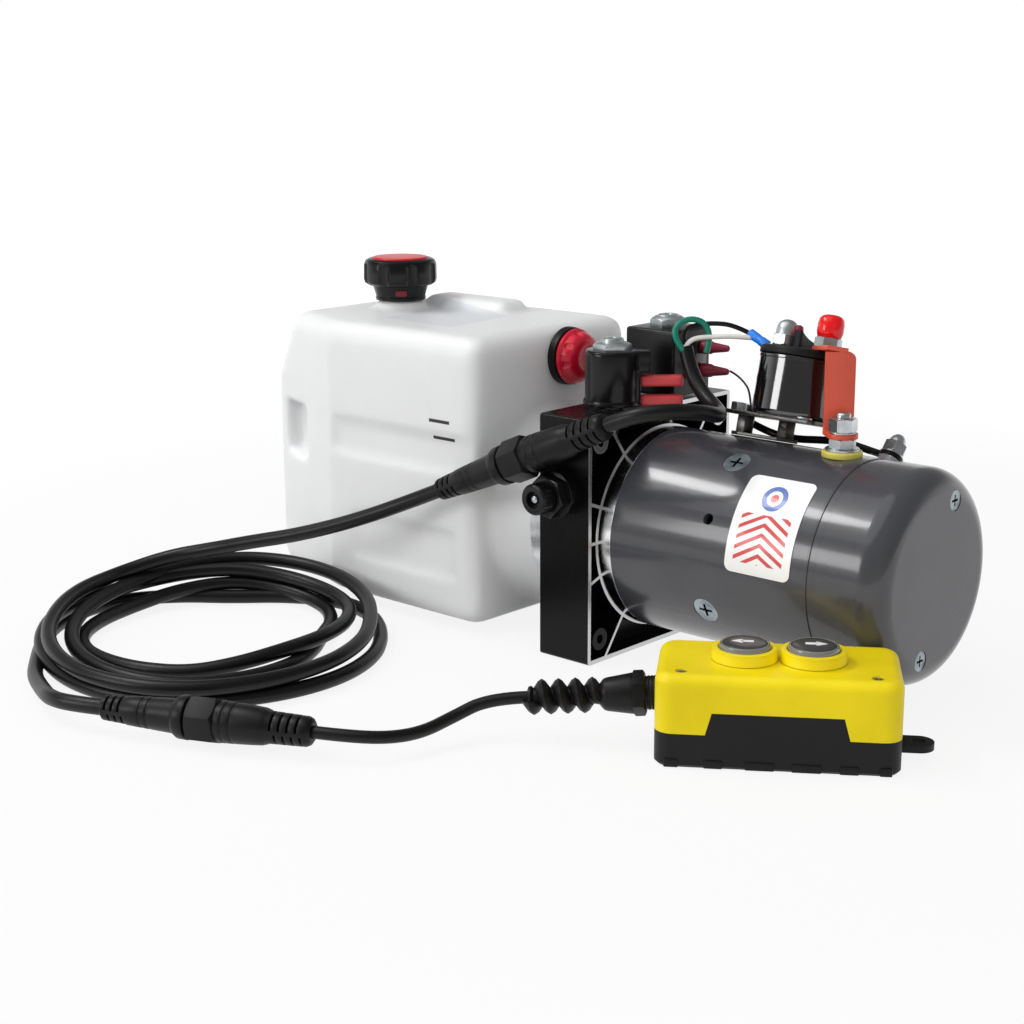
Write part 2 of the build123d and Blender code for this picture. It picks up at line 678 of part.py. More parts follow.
# ---------------------------------------------------------------- pump
def gear(centre_z, phase):
    """A spur gear of straight-sided teeth between the pump's faces."""
    outline = []
    pitch = 2 * pi / GEAR_TEETH
    for tooth in range(GEAR_TEETH):
        middle = phase + tooth * pitch
        for share, radius in ((-0.30, GEAR_ROOT), (-0.13, GEAR_TIP), (0.13, GEAR_TIP), (0.30, GEAR_ROOT)):
            angle = middle + share * pitch
            outline.append((radius * sin(angle), centre_z + radius * cos(angle)))
    start = PUMP_FACE - GEAR_SIDE_GAP
    plane = Plane(origin=(start, 0, 0), x_dir=(0, 1, 0), z_dir=(1, 0, 0))
    face = plane * make_face(Polyline(*outline, close=True))
    return extrude(face, GEAR_WIDTH, dir=(-1, 0, 0))


def drive_gear():
    """The pump's drive gear on its shaft, with a tang towards the motor."""
    body = gear(AXIS_HEIGHT, 0)
    body += rod(SHAFT_RADIUS, (PUMP_BODY_END - 10, 0, AXIS_HEIGHT), (COUPLING_X, 0, AXIS_HEIGHT))
    half = TANG_THICKNESS / 2
    tang = block((COUPLING_X, -half, AXIS_HEIGHT - SHAFT_RADIUS),
                 (COUPLING_X + TANG_LENGTH, half, AXIS_HEIGHT + SHAFT_RADIUS))
    tang &= rod(SHAFT_RADIUS, (COUPLING_X, 0, AXIS_HEIGHT), (COUPLING_X + TANG_LENGTH, 0, AXIS_HEIGHT))
    return body + tang


def idler_gear():
    body = gear(IDLER_Z, pi / GEAR_TEETH)
    return body + rod(SHAFT_RADIUS, (PUMP_BODY_END - 10, 0, IDLER_Z), (PUMP_FACE + 10, 0, IDLER_Z))


def pump_outline(start, end, radius):
    """Two round ends round the gears' centres, joined by a waist."""
    shape = rod(radius, (start, 0, AXIS_HEIGHT), (end, 0, AXIS_HEIGHT))
    shape += rod(radius, (start, 0, IDLER_Z), (end, 0, IDLER_Z))
    return shape + block((min(start, end), -radius, IDLER_Z), (max(start, end), radius, AXIS_HEIGHT))


def pump_body():
    body = pump_outline(PUMP_FACE, PUMP_BODY_END, PUMP_RADIUS)
    for z in (AXIS_HEIGHT, IDLER_Z):
        body -= rod(GEAR_TIP + GEAR_SIDE_GAP, (PUMP_FACE, 0, z), (PUMP_BODY_END, 0, z))
    for y, z in pump_bolt_places():
        body -= rod(PUMP_BOLT_RADIUS + SEAT_GAP, (PUMP_FACE, y, z), (PUMP_BODY_END, y, z))
    return body


def pump_cover():
    body = pump_outline(PUMP_BODY_END, PUMP_END, PUMP_RADIUS)
    for z in (AXIS_HEIGHT, IDLER_Z):
        body -= rod(SHAFT_RADIUS + RUN_GAP, (PUMP_BODY_END, 0, z), (PUMP_BODY_END - 11, 0, z))
    for y, z in pump_bolt_places():
        body -= rod(PUMP_BOLT_RADIUS + SEAT_GAP, (PUMP_BODY_END, y, z), (PUMP_END, y, z))
    return body


def pump_bolts():
    bolts = []
    for y, z in pump_bolt_places():
        bolt = rod(PUMP_BOLT_RADIUS, (PUMP_FACE + PUMP_BOLT_REACH, y, z), (PUMP_END, y, z))
        bolt += rod(PUMP_BOLT_HEAD, (PUMP_END, y, z), (PUMP_END - 5, y, z))
        bolts.append(bolt - hexagon(4, (PUMP_END - 5, y, z), (PUMP_END - 2, y, z)))
    return group(bolts)


def bent_tube(y, z, radius, reach, drop, bend):
    """A tube from its socket in the manifold into the tank and down."""
    path = FilletPolyline((PUMP_FACE + TUBE_SOCKET, y, z), (reach, y, z), (reach, y, drop), radius=bend)
    start = Plane(origin=(PUMP_FACE + TUBE_SOCKET, y, z), z_dir=(-1, 0, 0))
    return sweep(start * Circle(radius), path=path) - sweep(start * Circle(radius - OIL_TUBE_WALL), path=path)


STRAINER_X = TANK_NEAR - 32
STRAINER_TOP = TANK_BOTTOM + TANK_WALL + 6 + STRAINER_LENGTH


def oil_tubes():
    suction = bent_tube(SUCTION_Y, SUCTION_Z, SUCTION_RADIUS, STRAINER_X, STRAINER_TOP, 14)
    back = bent_tube(RETURN_Y, RETURN_Z, RETURN_RADIUS, TANK_NEAR - 30, 50, 12)
    return group([suction, back])


def suction_strainer():
    """A mesh basket that hangs on the foot of the suction tube."""
    top = (STRAINER_X, SUCTION_Y, STRAINER_TOP)
    foot = (STRAINER_X, SUCTION_Y, STRAINER_TOP - STRAINER_LENGTH)
    inner_top = (STRAINER_X, SUCTION_Y, STRAINER_TOP - STRAINER_WALL)
    inner_foot = (STRAINER_X, SUCTION_Y, STRAINER_TOP - STRAINER_LENGTH + STRAINER_WALL)
    body = rod(STRAINER_RADIUS, foot, top) - rod(STRAINER_RADIUS - STRAINER_WALL, inner_foot, inner_top)
    return body - rod(SUCTION_RADIUS - OIL_TUBE_WALL, inner_top, top)


# ---------------------------------------------------------------- tank
def tank_plan(inset):
    """The tank seen from above: its far end narrows in two long tapers."""
    start = TANK_FAR + TANK_SIDE_TAPER_LENGTH
    narrow = HALF_WIDTH - TANK_SIDE_TAPER
    corners = [(TANK_NEAR, -HALF_WIDTH), (TANK_NEAR, HALF_WIDTH), (start, HALF_WIDTH),
               (TANK_FAR, narrow), (TANK_FAR, -narrow), (start, -HALF_WIDTH)]
    face = make_face(Polyline(*corners, close=True))
    return offset(face, amount=-inset, kind=Kind.INTERSECTION) if inset else face


def tank_profile(inset):
    """The tank seen from the side: its far top edge slopes."""
    corners = [(TANK_NEAR, TANK_BOTTOM), (TANK_NEAR, TANK_TOP), (TANK_FAR + TANK_TOP_TAPER_LENGTH, TANK_TOP),
               (TANK_FAR, TANK_TOP - TANK_TOP_TAPER), (TANK_FAR, TANK_BOTTOM)]
    face = make_face(Polyline(*corners, close=True))
    return offset(face, amount=-inset, kind=Kind.INTERSECTION) if inset else face


def tank_form(inset):
    """The tank's outer form moved inwards, so that two of them make an even wall."""
    plan = extrude(tank_plan(inset), TANK_TOP + TANK_WIDTH)
    side_plane = Plane(origin=(0, TANK_WIDTH, 0), x_dir=(1, 0, 0), z_dir=(0, -1, 0))
    profile = extrude(side_plane * tank_profile(inset), 2 * TANK_WIDTH)
    body = fillet((plan & profile).edges(), TANK_EDGE - inset)
    low = WAIST_LOW - inset
    high = WAIST_HIGH + inset
    around = block((TANK_FAR - 1, -HALF_WIDTH - 1, low), (TANK_NEAR + 1, HALF_WIDTH + 1, high))
    core = Pos(0, 0, low) * extrude(tank_plan(inset + WAIST_DEPTH), high - low)
    return body - (around - core)


def tank_shell():
    near_out = (TANK_NEAR - TANK_WALL, 0, AXIS_HEIGHT)
    neck_end = (-MANIFOLD_THICKNESS / 2 - FACE_GAP, 0, AXIS_HEIGHT)
    bore = SPIGOT_RADIUS + SEAT_GAP
    filler_foot = (FILLER_X, 0, TANK_TOP - TANK_WALL)
    filler_top = (FILLER_X, 0, FILLER_NECK_TOP)
    body = tank_form(0) - tank_form(TANK_WALL)
    body += rod(NECK_RADIUS, near_out, neck_end)
    body += rod(FILLER_NECK_RADIUS, filler_foot, filler_top)
    body -= rod(bore, (TANK_NEAR - TANK_WALL - WAIST_DEPTH - 1, 0, AXIS_HEIGHT), neck_end)
    body -= rod(FILLER_BORE_RADIUS, (FILLER_X, 0, TANK_TOP - TANK_WALL - 1), filler_top)
    plug_y, plug_z = FILL_PLUG_Y, FILL_PLUG_Z
    inside = TANK_NEAR - TANK_WALL - 1
    body -= rod(FILL_PLUG_STEM + SLIDE_GAP, (inside, plug_y, plug_z), (TANK_NEAR, plug_y, plug_z))
    return body


def filler_cap():
    """A breather cap: a round head with finger lobes, a tapering collar, a plug and a dipstick."""
    base = FILLER_NECK_TOP + FACE_GAP
    head = base + CAP_COLLAR_HEIGHT
    outline = Circle(CAP_RADIUS - 1.5)
    for lobe in range(CAP_LOBES):
        place = Rot(0, 0, lobe * 360 / CAP_LOBES) * Pos(CAP_RADIUS - CAP_LOBE_RADIUS + 1, 0)
        outline += place * Circle(CAP_LOBE_RADIUS)
    cap = Pos(FILLER_X, 0, head) * extrude(outline, CAP_HEIGHT)
    cap = fillet(cap.edges().group_by(Axis.Z)[-1], 1.5)
    cap += cone(FILLER_NECK_RADIUS, CAP_COLLAR_RADIUS, (FILLER_X, 0, base), (FILLER_X, 0, head))
    plug_foot = base - CAP_PLUG_LENGTH
    cap += rod(FILLER_BORE_RADIUS - SLIDE_GAP, (FILLER_X, 0, plug_foot), (FILLER_X, 0, base))
    stick_foot = plug_foot - DIPSTICK_LENGTH
    return cap + rod(DIPSTICK_RADIUS, (FILLER_X, 0, stick_foot), (FILLER_X, 0, plug_foot))


def cap_disc():
    top = FILLER_NECK_TOP + FACE_GAP + CAP_COLLAR_HEIGHT + CAP_HEIGHT
    disc = rod(CAP_DISC_RADIUS, (FILLER_X, 0, top), (FILLER_X, 0, top + CAP_DISC_HEIGHT))
    return fillet(disc.edges().group_by(Axis.Z)[-1], 0.5)


def fill_plug():
    """A screw plug with a winged grip on the tank's near face."""
    y, z = FILL_PLUG_Y, FILL_PLUG_Z
    seat = TANK_NEAR + GASKET_THICKNESS + FACE_GAP
    disc_end = seat + FILL_PLUG_DISC
    plug = rod(FILL_PLUG_RADIUS, (seat, y, z), (disc_end, y, z))
    plug += rod(FILL_PLUG_STEM, (seat, y, z), (TANK_NEAR - FILL_PLUG_STEM_LENGTH, y, z))
    grip = Circle(FILL_PLUG_GRIP_RADIUS - 2.5)
    for lobe in range(6):
        grip += Rot(0, 0, lobe * 60) * Pos(FILL_PLUG_GRIP_RADIUS - 4, 0) * Circle(4)
    frame = Plane(origin=(disc_end, y, z), x_dir=(0, 1, 0), z_dir=(1, 0, 0))
    return plug + extrude(frame * grip, FILL_PLUG_GRIP)


def tank_seals():
    """The O-ring round the manifold's spigot, and the gasket under the fill plug."""
    middle = PUMP_FACE + SPIGOT_LENGTH / 2
    ends = ((middle - 1.2, 0, AXIS_HEIGHT), (middle + 1.2, 0, AXIS_HEIGHT))
    ring = pipe(SPIGOT_RADIUS, SPIGOT_RADIUS - O_RING_SECTION + 0.5, *ends)
    seat = ((TANK_NEAR, FILL_PLUG_Y, FILL_PLUG_Z), (TANK_NEAR + GASKET_THICKNESS, FILL_PLUG_Y, FILL_PLUG_Z))
    gasket = pipe(GASKET_RADIUS, FILL_PLUG_STEM + SLIDE_GAP, *seat)
    return group([ring, gasket])


def tank_clamp():
    """A worm-drive band round the tank's neck, with its screw at the back."""
    start = -MANIFOLD_THICKNESS / 2 - 4 - CLAMP_WIDTH
    ends = ((start, 0, AXIS_HEIGHT), (start + CLAMP_WIDTH, 0, AXIS_HEIGHT))
    outer = NECK_RADIUS + SEAT_GAP + CLAMP_THICKNESS
    band = pipe(outer, NECK_RADIUS + SEAT_GAP, *ends)
    middle = start + CLAMP_WIDTH / 2
    y = outer + CLAMP_SCREW_RADIUS
    half = CLAMP_SCREW_LENGTH / 2
    screw = rod(CLAMP_SCREW_RADIUS, (middle, y, AXIS_HEIGHT - half), (middle, y, AXIS_HEIGHT + half))
    return group([band, screw])


# ---------------------------------------------------------------- motor
def motor_ring():
    """The machined drive-end head of the motor."""
    ends = ((MOTOR_FACE, 0, AXIS_HEIGHT), (HOUSING_START, 0, AXIS_HEIGHT))
    return pipe(MOTOR_RADIUS, BUSH_RADIUS + SEAT_GAP, *ends)


def motor_housing():
    ends = ((HOUSING_START, 0, AXIS_HEIGHT), (HOUSING_END, 0, AXIS_HEIGHT))
    body = pipe(MOTOR_RADIUS, BORE_RADIUS, *ends)
    inner = BORE_RADIUS - 2
    for quarter in range(4):
        angle = POLE_SCREW_ANGLE + 90 * quarter
        x = MOTOR_FACE + POLE_SCREW_X
        body -= rod(POLE_SHANK_RADIUS + SEAT_GAP, *outward(x, inner, MOTOR_RADIUS + 1, angle))
        body -= rod(POLE_HEAD_RADIUS + SEAT_GAP, *outward(x, MOTOR_RADIUS - 2.2, MOTOR_RADIUS + 1, angle))
    x = MOTOR_FACE + POLE_SCREW_X + 1
    body -= rod(TAPPED_HOLE_RADIUS, *outward(x, inner, MOTOR_RADIUS + 1, TAPPED_HOLE_ANGLE))
    x = MOTOR_FACE + TERMINAL_X
    body -= rod(INSULATOR_SLEEVE + SEAT_GAP, *outward(x, inner, MOTOR_RADIUS + 1, 0))
    x = MOTOR_FACE + GROUND_X
    return body - rod(GROUND_RADIUS + SEAT_GAP, *outward(x, inner, MOTOR_RADIUS + 1, GROUND_ANGLE))


def seam_ends():
    """The shallow groove that runs round the cap next to the housing."""
    start = HOUSING_END + SEAM_START
    return (start, 0, AXIS_HEIGHT), (start + SEAM_WIDTH, 0, AXIS_HEIGHT)


def motor_end_cap():
    body = rod(MOTOR_RADIUS, (HOUSING_END, 0, AXIS_HEIGHT), (MOTOR_END, 0, AXIS_HEIGHT))
    body = fillet(body.edges().group_by(Axis.X)[-1], END_CAP_ROUND)
    floor = MOTOR_END - MOTOR_WALL
    hollow = rod(BORE_RADIUS, (HOUSING_END, 0, AXIS_HEIGHT), (floor, 0, AXIS_HEIGHT))
    body -= fillet(hollow.edges().group_by(Axis.X)[-1], END_CAP_ROUND - MOTOR_WALL)
    body += rod(BUSH_RADIUS + 4, (floor - 10, 0, AXIS_HEIGHT), (floor, 0, AXIS_HEIGHT))
    body -= rod(BUSH_RADIUS + SEAT_GAP, (floor - 10, 0, AXIS_HEIGHT), (floor, 0, AXIS_HEIGHT))
    body -= pipe(MOTOR_RADIUS + 1, MOTOR_RADIUS - SEAM_DEPTH, *seam_ends())
    for angle in END_SCREW_ANGLES:
        y, z = polar(END_SCREW_RADIUS, angle)
        body -= rod(END_SCREW_HEAD + SEAT_GAP, (MOTOR_END - 2, y, z), (MOTOR_END, y, z))
        body -= rod(2.6, (floor - 1, y, z), (MOTOR_END, y, z))
    return body


def armature():
    """The shaft with its core, windings and commutator, slotted for the pump's tang."""
    x = MOTOR_FACE
    start = COUPLING_X + RUN_GAP
    body = rod(SHAFT_RADIUS, (start, 0, AXIS_HEIGHT), (MOTOR_END - MOTOR_WALL - 1, 0, AXIS_HEIGHT))
    core_end = x + CORE_START + CORE_LENGTH
    body += rod(CORE_RADIUS, (x + CORE_START, 0, AXIS_HEIGHT), (core_end, 0, AXIS_HEIGHT))
    winding = (x + CORE_START - WINDING_LENGTH, 0, AXIS_HEIGHT)
    body += rod(WINDING_RADIUS, winding, (core_end + WINDING_LENGTH, 0, AXIS_HEIGHT))
    comm = x + COMMUTATOR_START
    body += rod(COMMUTATOR_RADIUS, (comm, 0, AXIS_HEIGHT), (comm + COMMUTATOR_LENGTH, 0, AXIS_HEIGHT))
    half = TANG_THICKNESS / 2 + SEAT_GAP
    depth = COUPLING_X + TANG_LENGTH + FACE_GAP
    slot = block((start, -half, AXIS_HEIGHT - SHAFT_RADIUS), (depth, half, AXIS_HEIGHT + SHAFT_RADIUS))
    return body - slot


def motor_bearings():
    floor = MOTOR_END - MOTOR_WALL
    bore = SHAFT_RADIUS + RUN_GAP
    front = pipe(BUSH_RADIUS, bore, (MOTOR_FACE, 0, AXIS_HEIGHT), (HOUSING_START, 0, AXIS_HEIGHT))
    rear = pipe(BUSH_RADIUS, SHAFT_RADIUS + RUN_GAP, (floor - 10, 0, AXIS_HEIGHT), (floor, 0, AXIS_HEIGHT))
    return group([front, rear])


def field_magnets():
    """Four pole shoes on the housing's wall, each held by one pole screw."""
    start = MOTOR_FACE + CORE_START - 4
    end = MOTOR_FACE + CORE_START + CORE_LENGTH + 4
    ends = ((start, 0, AXIS_HEIGHT), (end, 0, AXIS_HEIGHT))
    ring = pipe(BORE_RADIUS - SEAT_GAP, CORE_RADIUS + SHOE_GAP, *ends)
    for quarter in range(4):
        middle = POLE_SCREW_ANGLE + 45 + 90 * quarter
        wedge_half = (90 - SHOE_ANGLE) / 2
        reach = 2 * MOTOR_RADIUS
        corners = [(0, 0)] + [(-reach * sin(radians(middle + turn)), reach * cos(radians(middle + turn)))
                              for turn in (-wedge_half, wedge_half)]
        frame = Plane(origin=(start, 0, AXIS_HEIGHT), x_dir=(0, 1, 0), z_dir=(1, 0, 0))
        ring -= extrude(frame * make_face(Polyline(*corners, close=True)), end - start)
    for quarter in range(4):
        angle = POLE_SCREW_ANGLE + 90 * quarter
        x = MOTOR_FACE + POLE_SCREW_X
        ring -= rod(POLE_SHANK_RADIUS + SEAT_GAP, *outward(x, CORE_RADIUS, MOTOR_RADIUS, angle))
    return group([ring])


def brush_gear():
    """The brush plate at the housing's end, and four brushes on the commutator."""
    plate_start = HOUSING_END - 3.5
    ends = ((plate_start, 0, AXIS_HEIGHT), (HOUSING_END, 0, AXIS_HEIGHT))
    plate = pipe(BORE_RADIUS - SEAT_GAP, COMMUTATOR_RADIUS + 4, *ends)
    pieces = [plate]
    low = COMMUTATOR_RADIUS + FACE_GAP
    for quarter in range(4):
        brush = block((plate_start - 12, -6, low), (plate_start, 6, low + 14))
        pieces.append(Pos(0, 0, AXIS_HEIGHT) * Rot(45 + 90 * quarter, 0, 0) * brush)
    return group(pieces)


def cross_recess(size, depth):
    """The cut of a cross-head driver, its mouth at the origin, going down."""
    arm = block((-size, -size / 5, -depth), (size, size / 5, 0))
    return arm + Rot(0, 0, 90) * arm


def motor_screws():
    """Four countersunk pole screws and the two screws of the end cap."""
    screws = []
    for quarter in range(4):
        angle = POLE_SCREW_ANGLE + 90 * quarter
        x = MOTOR_FACE + POLE_SCREW_X
        foot, top = outward(x, CORE_RADIUS + SHOE_GAP + 1, MOTOR_RADIUS - 0.4, angle)
        seat, _ = outward(x, MOTOR_RADIUS - 2.2, MOTOR_RADIUS, angle)
        screw = rod(POLE_SHANK_RADIUS, foot, top) + rod(POLE_HEAD_RADIUS, seat, top)
        frame = Plane(origin=top, z_dir=Vector(*top) - Vector(*foot))
        screws.append(screw - frame * cross_recess(4.2, 1.6))
    for angle in END_SCREW_ANGLES:
        y, z = polar(END_SCREW_RADIUS, angle)
        screw = rod(END_SCREW_HEAD, (MOTOR_END - 2, y, z), (MOTOR_END - 0.4, y, z))
        screw += rod(2.5, (MOTOR_END - MOTOR_WALL - 0.5, y, z), (MOTOR_END - 2, y, z))
        frame = Plane(origin=(MOTOR_END - 0.4, y, z), z_dir=(1, 0, 0))
        screws.append(screw - frame * cross_recess(3.0, 1.2))
    return group(screws)


def motor_label():
    """A printed plate bent to the housing."""
    start = MOTOR_FACE + LABEL_START
    inner = MOTOR_RADIUS + SEAT_GAP
    ends = ((start, 0, AXIS_HEIGHT), (start + LABEL_LENGTH, 0, AXIS_HEIGHT))
    sheet = pipe(inner + LABEL_THICKNESS, inner, *ends)
    reach = 2 * MOTOR_RADIUS
    corners = [(0, 0)] + [(-reach * sin(radians(angle)), reach * cos(radians(angle))) for angle in LABEL_ANGLES]
    frame = Plane(origin=(start, 0, AXIS_HEIGHT), x_dir=(0, 1, 0), z_dir=(1, 0, 0))
    plate = sheet & extrude(frame * make_face(Polyline(*corners, close=True)), LABEL_LENGTH)
    short = [edge for edge in plate.edges() if edge.length < 2 * LABEL_THICKNESS]
    return fillet(short, LABEL_CORNER)


# ---------------------------------------------------------------- motor studs
def terminal_levels():
    """Radii of the terminal stud's stack: insulator top, busbar foot, busbar top, upper nut's top."""
    insulator = MOTOR_RADIUS + INSULATOR_FLANGE
    foot = insulator + TERMINAL_LOWER_NUT
    top = foot + BUSBAR_THICKNESS
    return insulator, foot, top, top + TERMINAL_UPPER_NUT


def terminal_insulator():
    x = MOTOR_FACE + TERMINAL_X
    insulator = terminal_levels()[0]
    body = rod(INSULATOR_SLEEVE, *outward(x, BORE_RADIUS, MOTOR_RADIUS, 0))
    body += rod(INSULATOR_RADIUS, *outward(x, MOTOR_RADIUS, insulator, 0))
    return body - rod(TERMINAL_RADIUS + SEAT_GAP, *outward(x, BORE_RADIUS, insulator, 0))


def terminal_stud():
    x = MOTOR_FACE + TERMINAL_X
    insulator, foot, top, nut_top = terminal_levels()
    stud = rod(TERMINAL_RADIUS, *outward(x, BORE_RADIUS - 3, nut_top + TERMINAL_TIP, 0))
    hole = rod(TERMINAL_RADIUS + SEAT_GAP, *outward(x, BORE_RADIUS - 3, nut_top, 0))
    lower = hexagon(TERMINAL_NUT_FLATS, *outward(x, insulator, foot, 0)) - hole
    upper = hexagon(TERMINAL_NUT_FLATS, *outward(x, top, nut_top, 0), turn=15) - hole
    return group([stud, lower, upper])


def ground_stud():
    x = MOTOR_FACE + GROUND_X
    lug = MOTOR_RADIUS + GROUND_BASE_NUT
    nut = lug + GROUND_LUG
    nut_top = nut + GROUND_TOP_NUT
    stud = rod(GROUND_RADIUS, *outward(x, BORE_RADIUS - 2, nut_top + GROUND_TIP, GROUND_ANGLE))
    hole = rod(GROUND_RADIUS + SEAT_GAP, *outward(x, MOTOR_RADIUS - 1, nut_top, GROUND_ANGLE))
    base = hexagon(GROUND_NUT_FLATS, *outward(x, MOTOR_RADIUS, lug, GROUND_ANGLE)) - hole
    washer = rod(GROUND_NUT_FLATS / 2 + 1, *outward(x, lug, nut, GROUND_ANGLE)) - hole
    top = hexagon(GROUND_NUT_FLATS, *outward(x, nut, nut_top, GROUND_ANGLE), turn=20) - hole
    return group([stud, base, washer, top])


# ---------------------------------------------------------------- contactor, in its own tilted frame
def contactor_bracket():
    base = MOTOR_RADIUS + 0.2
    half = BRACKET_BASE_LENGTH / 2
    middle = sum(BRACKET_BOLTS) / 2
    wide = BRACKET_BASE_WIDTH / 2
    corners = [(middle - half, 0), (middle - half + 9, wide), (middle + half - 9, wide),
               (middle + half, 0), (middle + half - 9, -wide), (middle - half + 9, -wide)]
    foot = Pos(0, 0, base) * extrude(make_face(Polyline(*corners, close=True)), BRACKET_BASE_THICKNESS)
    half_plate = BRACKET_PLATE_WIDTH / 2
    low = (BRACKET_PLATE_START, -half_plate, BRACKET_PLATE_HEIGHT)
    high = (BRACKET_PLATE_END, half_plate, BRACKET_PLATE_HEIGHT + BRACKET_PLATE_THICKNESS)
    plate = block(low, high)
    plate = fillet(plate.edges().filter_by(Axis.Z), 4)
    pieces = [foot, plate]
    spacers = []
    for x in BRACKET_BOLTS:
        foot = base + BRACKET_BASE_THICKNESS
        spacers.append(hexagon(BRACKET_SPACER_FLATS, (x, 0, foot), (x, 0, BRACKET_PLATE_HEIGHT)))
    holes = [rod(BRACKET_BOLT_RADIUS + SEAT_GAP, (x, 0, base), (x, 0, CAN_BASE)) for x in BRACKET_BOLTS]
    drilled = []
    for piece in pieces + spacers:
        for hole in holes:
            piece = piece - hole
        drilled.append(CONTACTOR * piece)
    return group(drilled)


def bracket_bolts():
    """Bolts through the foot, the spacers and the plate; the inner one's head sits under the can."""
    bolts = []
    for x in BRACKET_BOLTS:
        base = MOTOR_RADIUS + 0.2
        under_can = abs(x - CAN_OFFSET) < CAN_RADIUS
        top = CAN_BASE if under_can else CAN_BASE + BRACKET_NUT
        bolt = rod(BRACKET_BOLT_RADIUS, (x, 0, base), (x, 0, top))
        if not under_can:
            bolt += hexagon(BRACKET_NUT_FLATS, (x, 0, CAN_BASE), (x, 0, top))
        bolts.append(CONTACTOR * bolt)
    return group(bolts)


def contactor_can():
    """A closed can, and the winding that stands in it round the plunger."""
    x = CAN_OFFSET
    shell = rod(CAN_RADIUS, (x, 0, CAN_BASE), (x, 0, CAP_BASE))
    shell -= rod(CAN_RADIUS - CAN_WALL, (x, 0, CAN_BASE + CAN_WALL), (x, 0, CAP_BASE))
    winding_top = CAP_BASE - 3
    outer = CAN_RADIUS - CAN_WALL - SEAT_GAP
    winding = pipe(outer, WINDING_BORE, (x, 0, CAN_BASE + CAN_WALL), (x, 0, winding_top))
    return group([CONTACTOR * shell, CONTACTOR * winding])


def contactor_plunger():
    foot = CAN_BASE + CAN_WALL + FACE_GAP
    top = foot + CONTACTOR_PLUNGER_LENGTH
    return CONTACTOR * rod(CONTACTOR_PLUNGER_RADIUS, (CAN_OFFSET, 0, foot), (CAN_OFFSET, 0, top))


def stud_places():
    return [CAN_OFFSET + side * STUD_SPACING / 2 for side in (-1, 1)]


def contactor_cap():
    """The moulded top, with a barrier between the studs."""
    x = CAN_OFFSET
    plate = rod(CAN_RADIUS + 0.6, (x, 0, CAP_BASE), (x, 0, STUD_BASE))
    plate = fillet(plate.edges().group_by(Axis.Z)[-1], 1.2)
    half = BARRIER_THICKNESS / 2
    wide = CAN_RADIUS * 0.8
    barrier = block((x - half, -wide, STUD_BASE - 0.5), (x + half, wide, STUD_BASE + BARRIER_HEIGHT))
    body = plate + fillet(barrier.edges().filter_by(Axis.X), 3)
    for stud in stud_places():
        body -= rod(STUD_RADIUS + SEAT_GAP, (stud, 0, CAP_BASE), (stud, 0, STUD_BASE))
    return CONTACTOR * body


def contactor_studs():
    """Two studs with their heads under the cap; nuts clamp the lugs and the busbar."""
    pieces = []
    for index, x in enumerate(stud_places()):
        seat = STUD_BASE + (BUSBAR_THICKNESS if index else LUG_THICKNESS)
        nut_top = seat + STUD_NUT
        stud = rod(STUD_RADIUS, (x, 0, CAP_BASE - 2), (x, 0, STUD_BASE + STUD_HEIGHT))
        hole = rod(STUD_RADIUS + SEAT_GAP, (x, 0, seat), (x, 0, nut_top))
        nut = hexagon(STUD_NUT_FLATS, (x, 0, seat), (x, 0, nut_top), turn=10) - hole
        pieces += [CONTACTOR * stud, CONTACTOR * nut]
    return group(pieces)


def stud_boot():
    """A soft cap pushed over the battery stud."""
    x = stud_places()[1]
    seat = STUD_BASE + BUSBAR_THICKNESS + STUD_NUT
    boot = cone(BOOT_RADIUS, BOOT_RADIUS - 1.2, (x, 0, seat), (x, 0, seat + BOOT_HEIGHT))
    boot = fillet(boot.edges().group_by(Axis.Z)[-1], 2.6)
    return CONTACTOR * (boot - rod(STUD_RADIUS + SEAT_GAP, (x, 0, seat), (x, 0, STUD_BASE + STUD_HEIGHT + 0.2)))


def busbar():
    """A copper strip: a foot on the motor's stud, a leg up, and a tongue back to the contactor's stud."""
    x = MOTOR_FACE + TERMINAL_X
    stud = CONTACTOR.from_local_coords(Vector(stud_places()[1], 0, STUD_BASE))
    away = Vector(stud.X - x, stud.Y, 0)
    frame = Plane(origin=(x, 0, 0), x_dir=away.normalized(), z_dir=(0, 0, 1))
    half = BUSBAR_WIDTH / 2
    foot = AXIS_HEIGHT + terminal_levels()[1]
    crest = stud.Z + (stud.Y - BUSBAR_STANDOFF * away.normalized().Y) * tan(radians(CONTACTOR_TILT))
    leg = block((BUSBAR_STANDOFF, -half, foot), (BUSBAR_STANDOFF + BUSBAR_THICKNESS, half, crest))
    corner = leg.edges().filter_by(Axis.X).sort_by(lambda edge: edge.center().Z - edge.center().Y)[-1]
    leg = frame * fillet(corner, BUSBAR_CORNER)
    sole = rod(BUSBAR_FOOT_RADIUS, (0, 0, foot), (0, 0, foot + BUSBAR_THICKNESS))
    sole += block((0, -half, foot), (BUSBAR_STANDOFF + 1, half, foot + BUSBAR_THICKNESS))
    sole -= rod(TERMINAL_RADIUS + SEAT_GAP, (0, 0, foot), (0, 0, foot + BUSBAR_THICKNESS))
    start = CONTACTOR.to_local_coords(frame.from_local_coords(Vector(BUSBAR_STANDOFF, 0, crest)))
    end = Vector(stud_places()[1], 0, STUD_BASE)
    run = Vector(end.X - start.X, end.Y - start.Y, 0)
    tongue_frame = Plane(origin=(end.X, end.Y, STUD_BASE), x_dir=run.normalized(), z_dir=(0, 0, 1))
    tongue = block((-run.length, BUSBAR_CORNER - half, 0), (0, half, BUSBAR_THICKNESS))
    tongue += rod(half, (0, 0, 0), (0, 0, BUSBAR_THICKNESS))
    tongue -= rod(STUD_RADIUS + SEAT_GAP, (0, 0, 0), (0, 0, BUSBAR_THICKNESS))
    return leg + frame * sole + CONTACTOR * (tongue_frame * tongue)


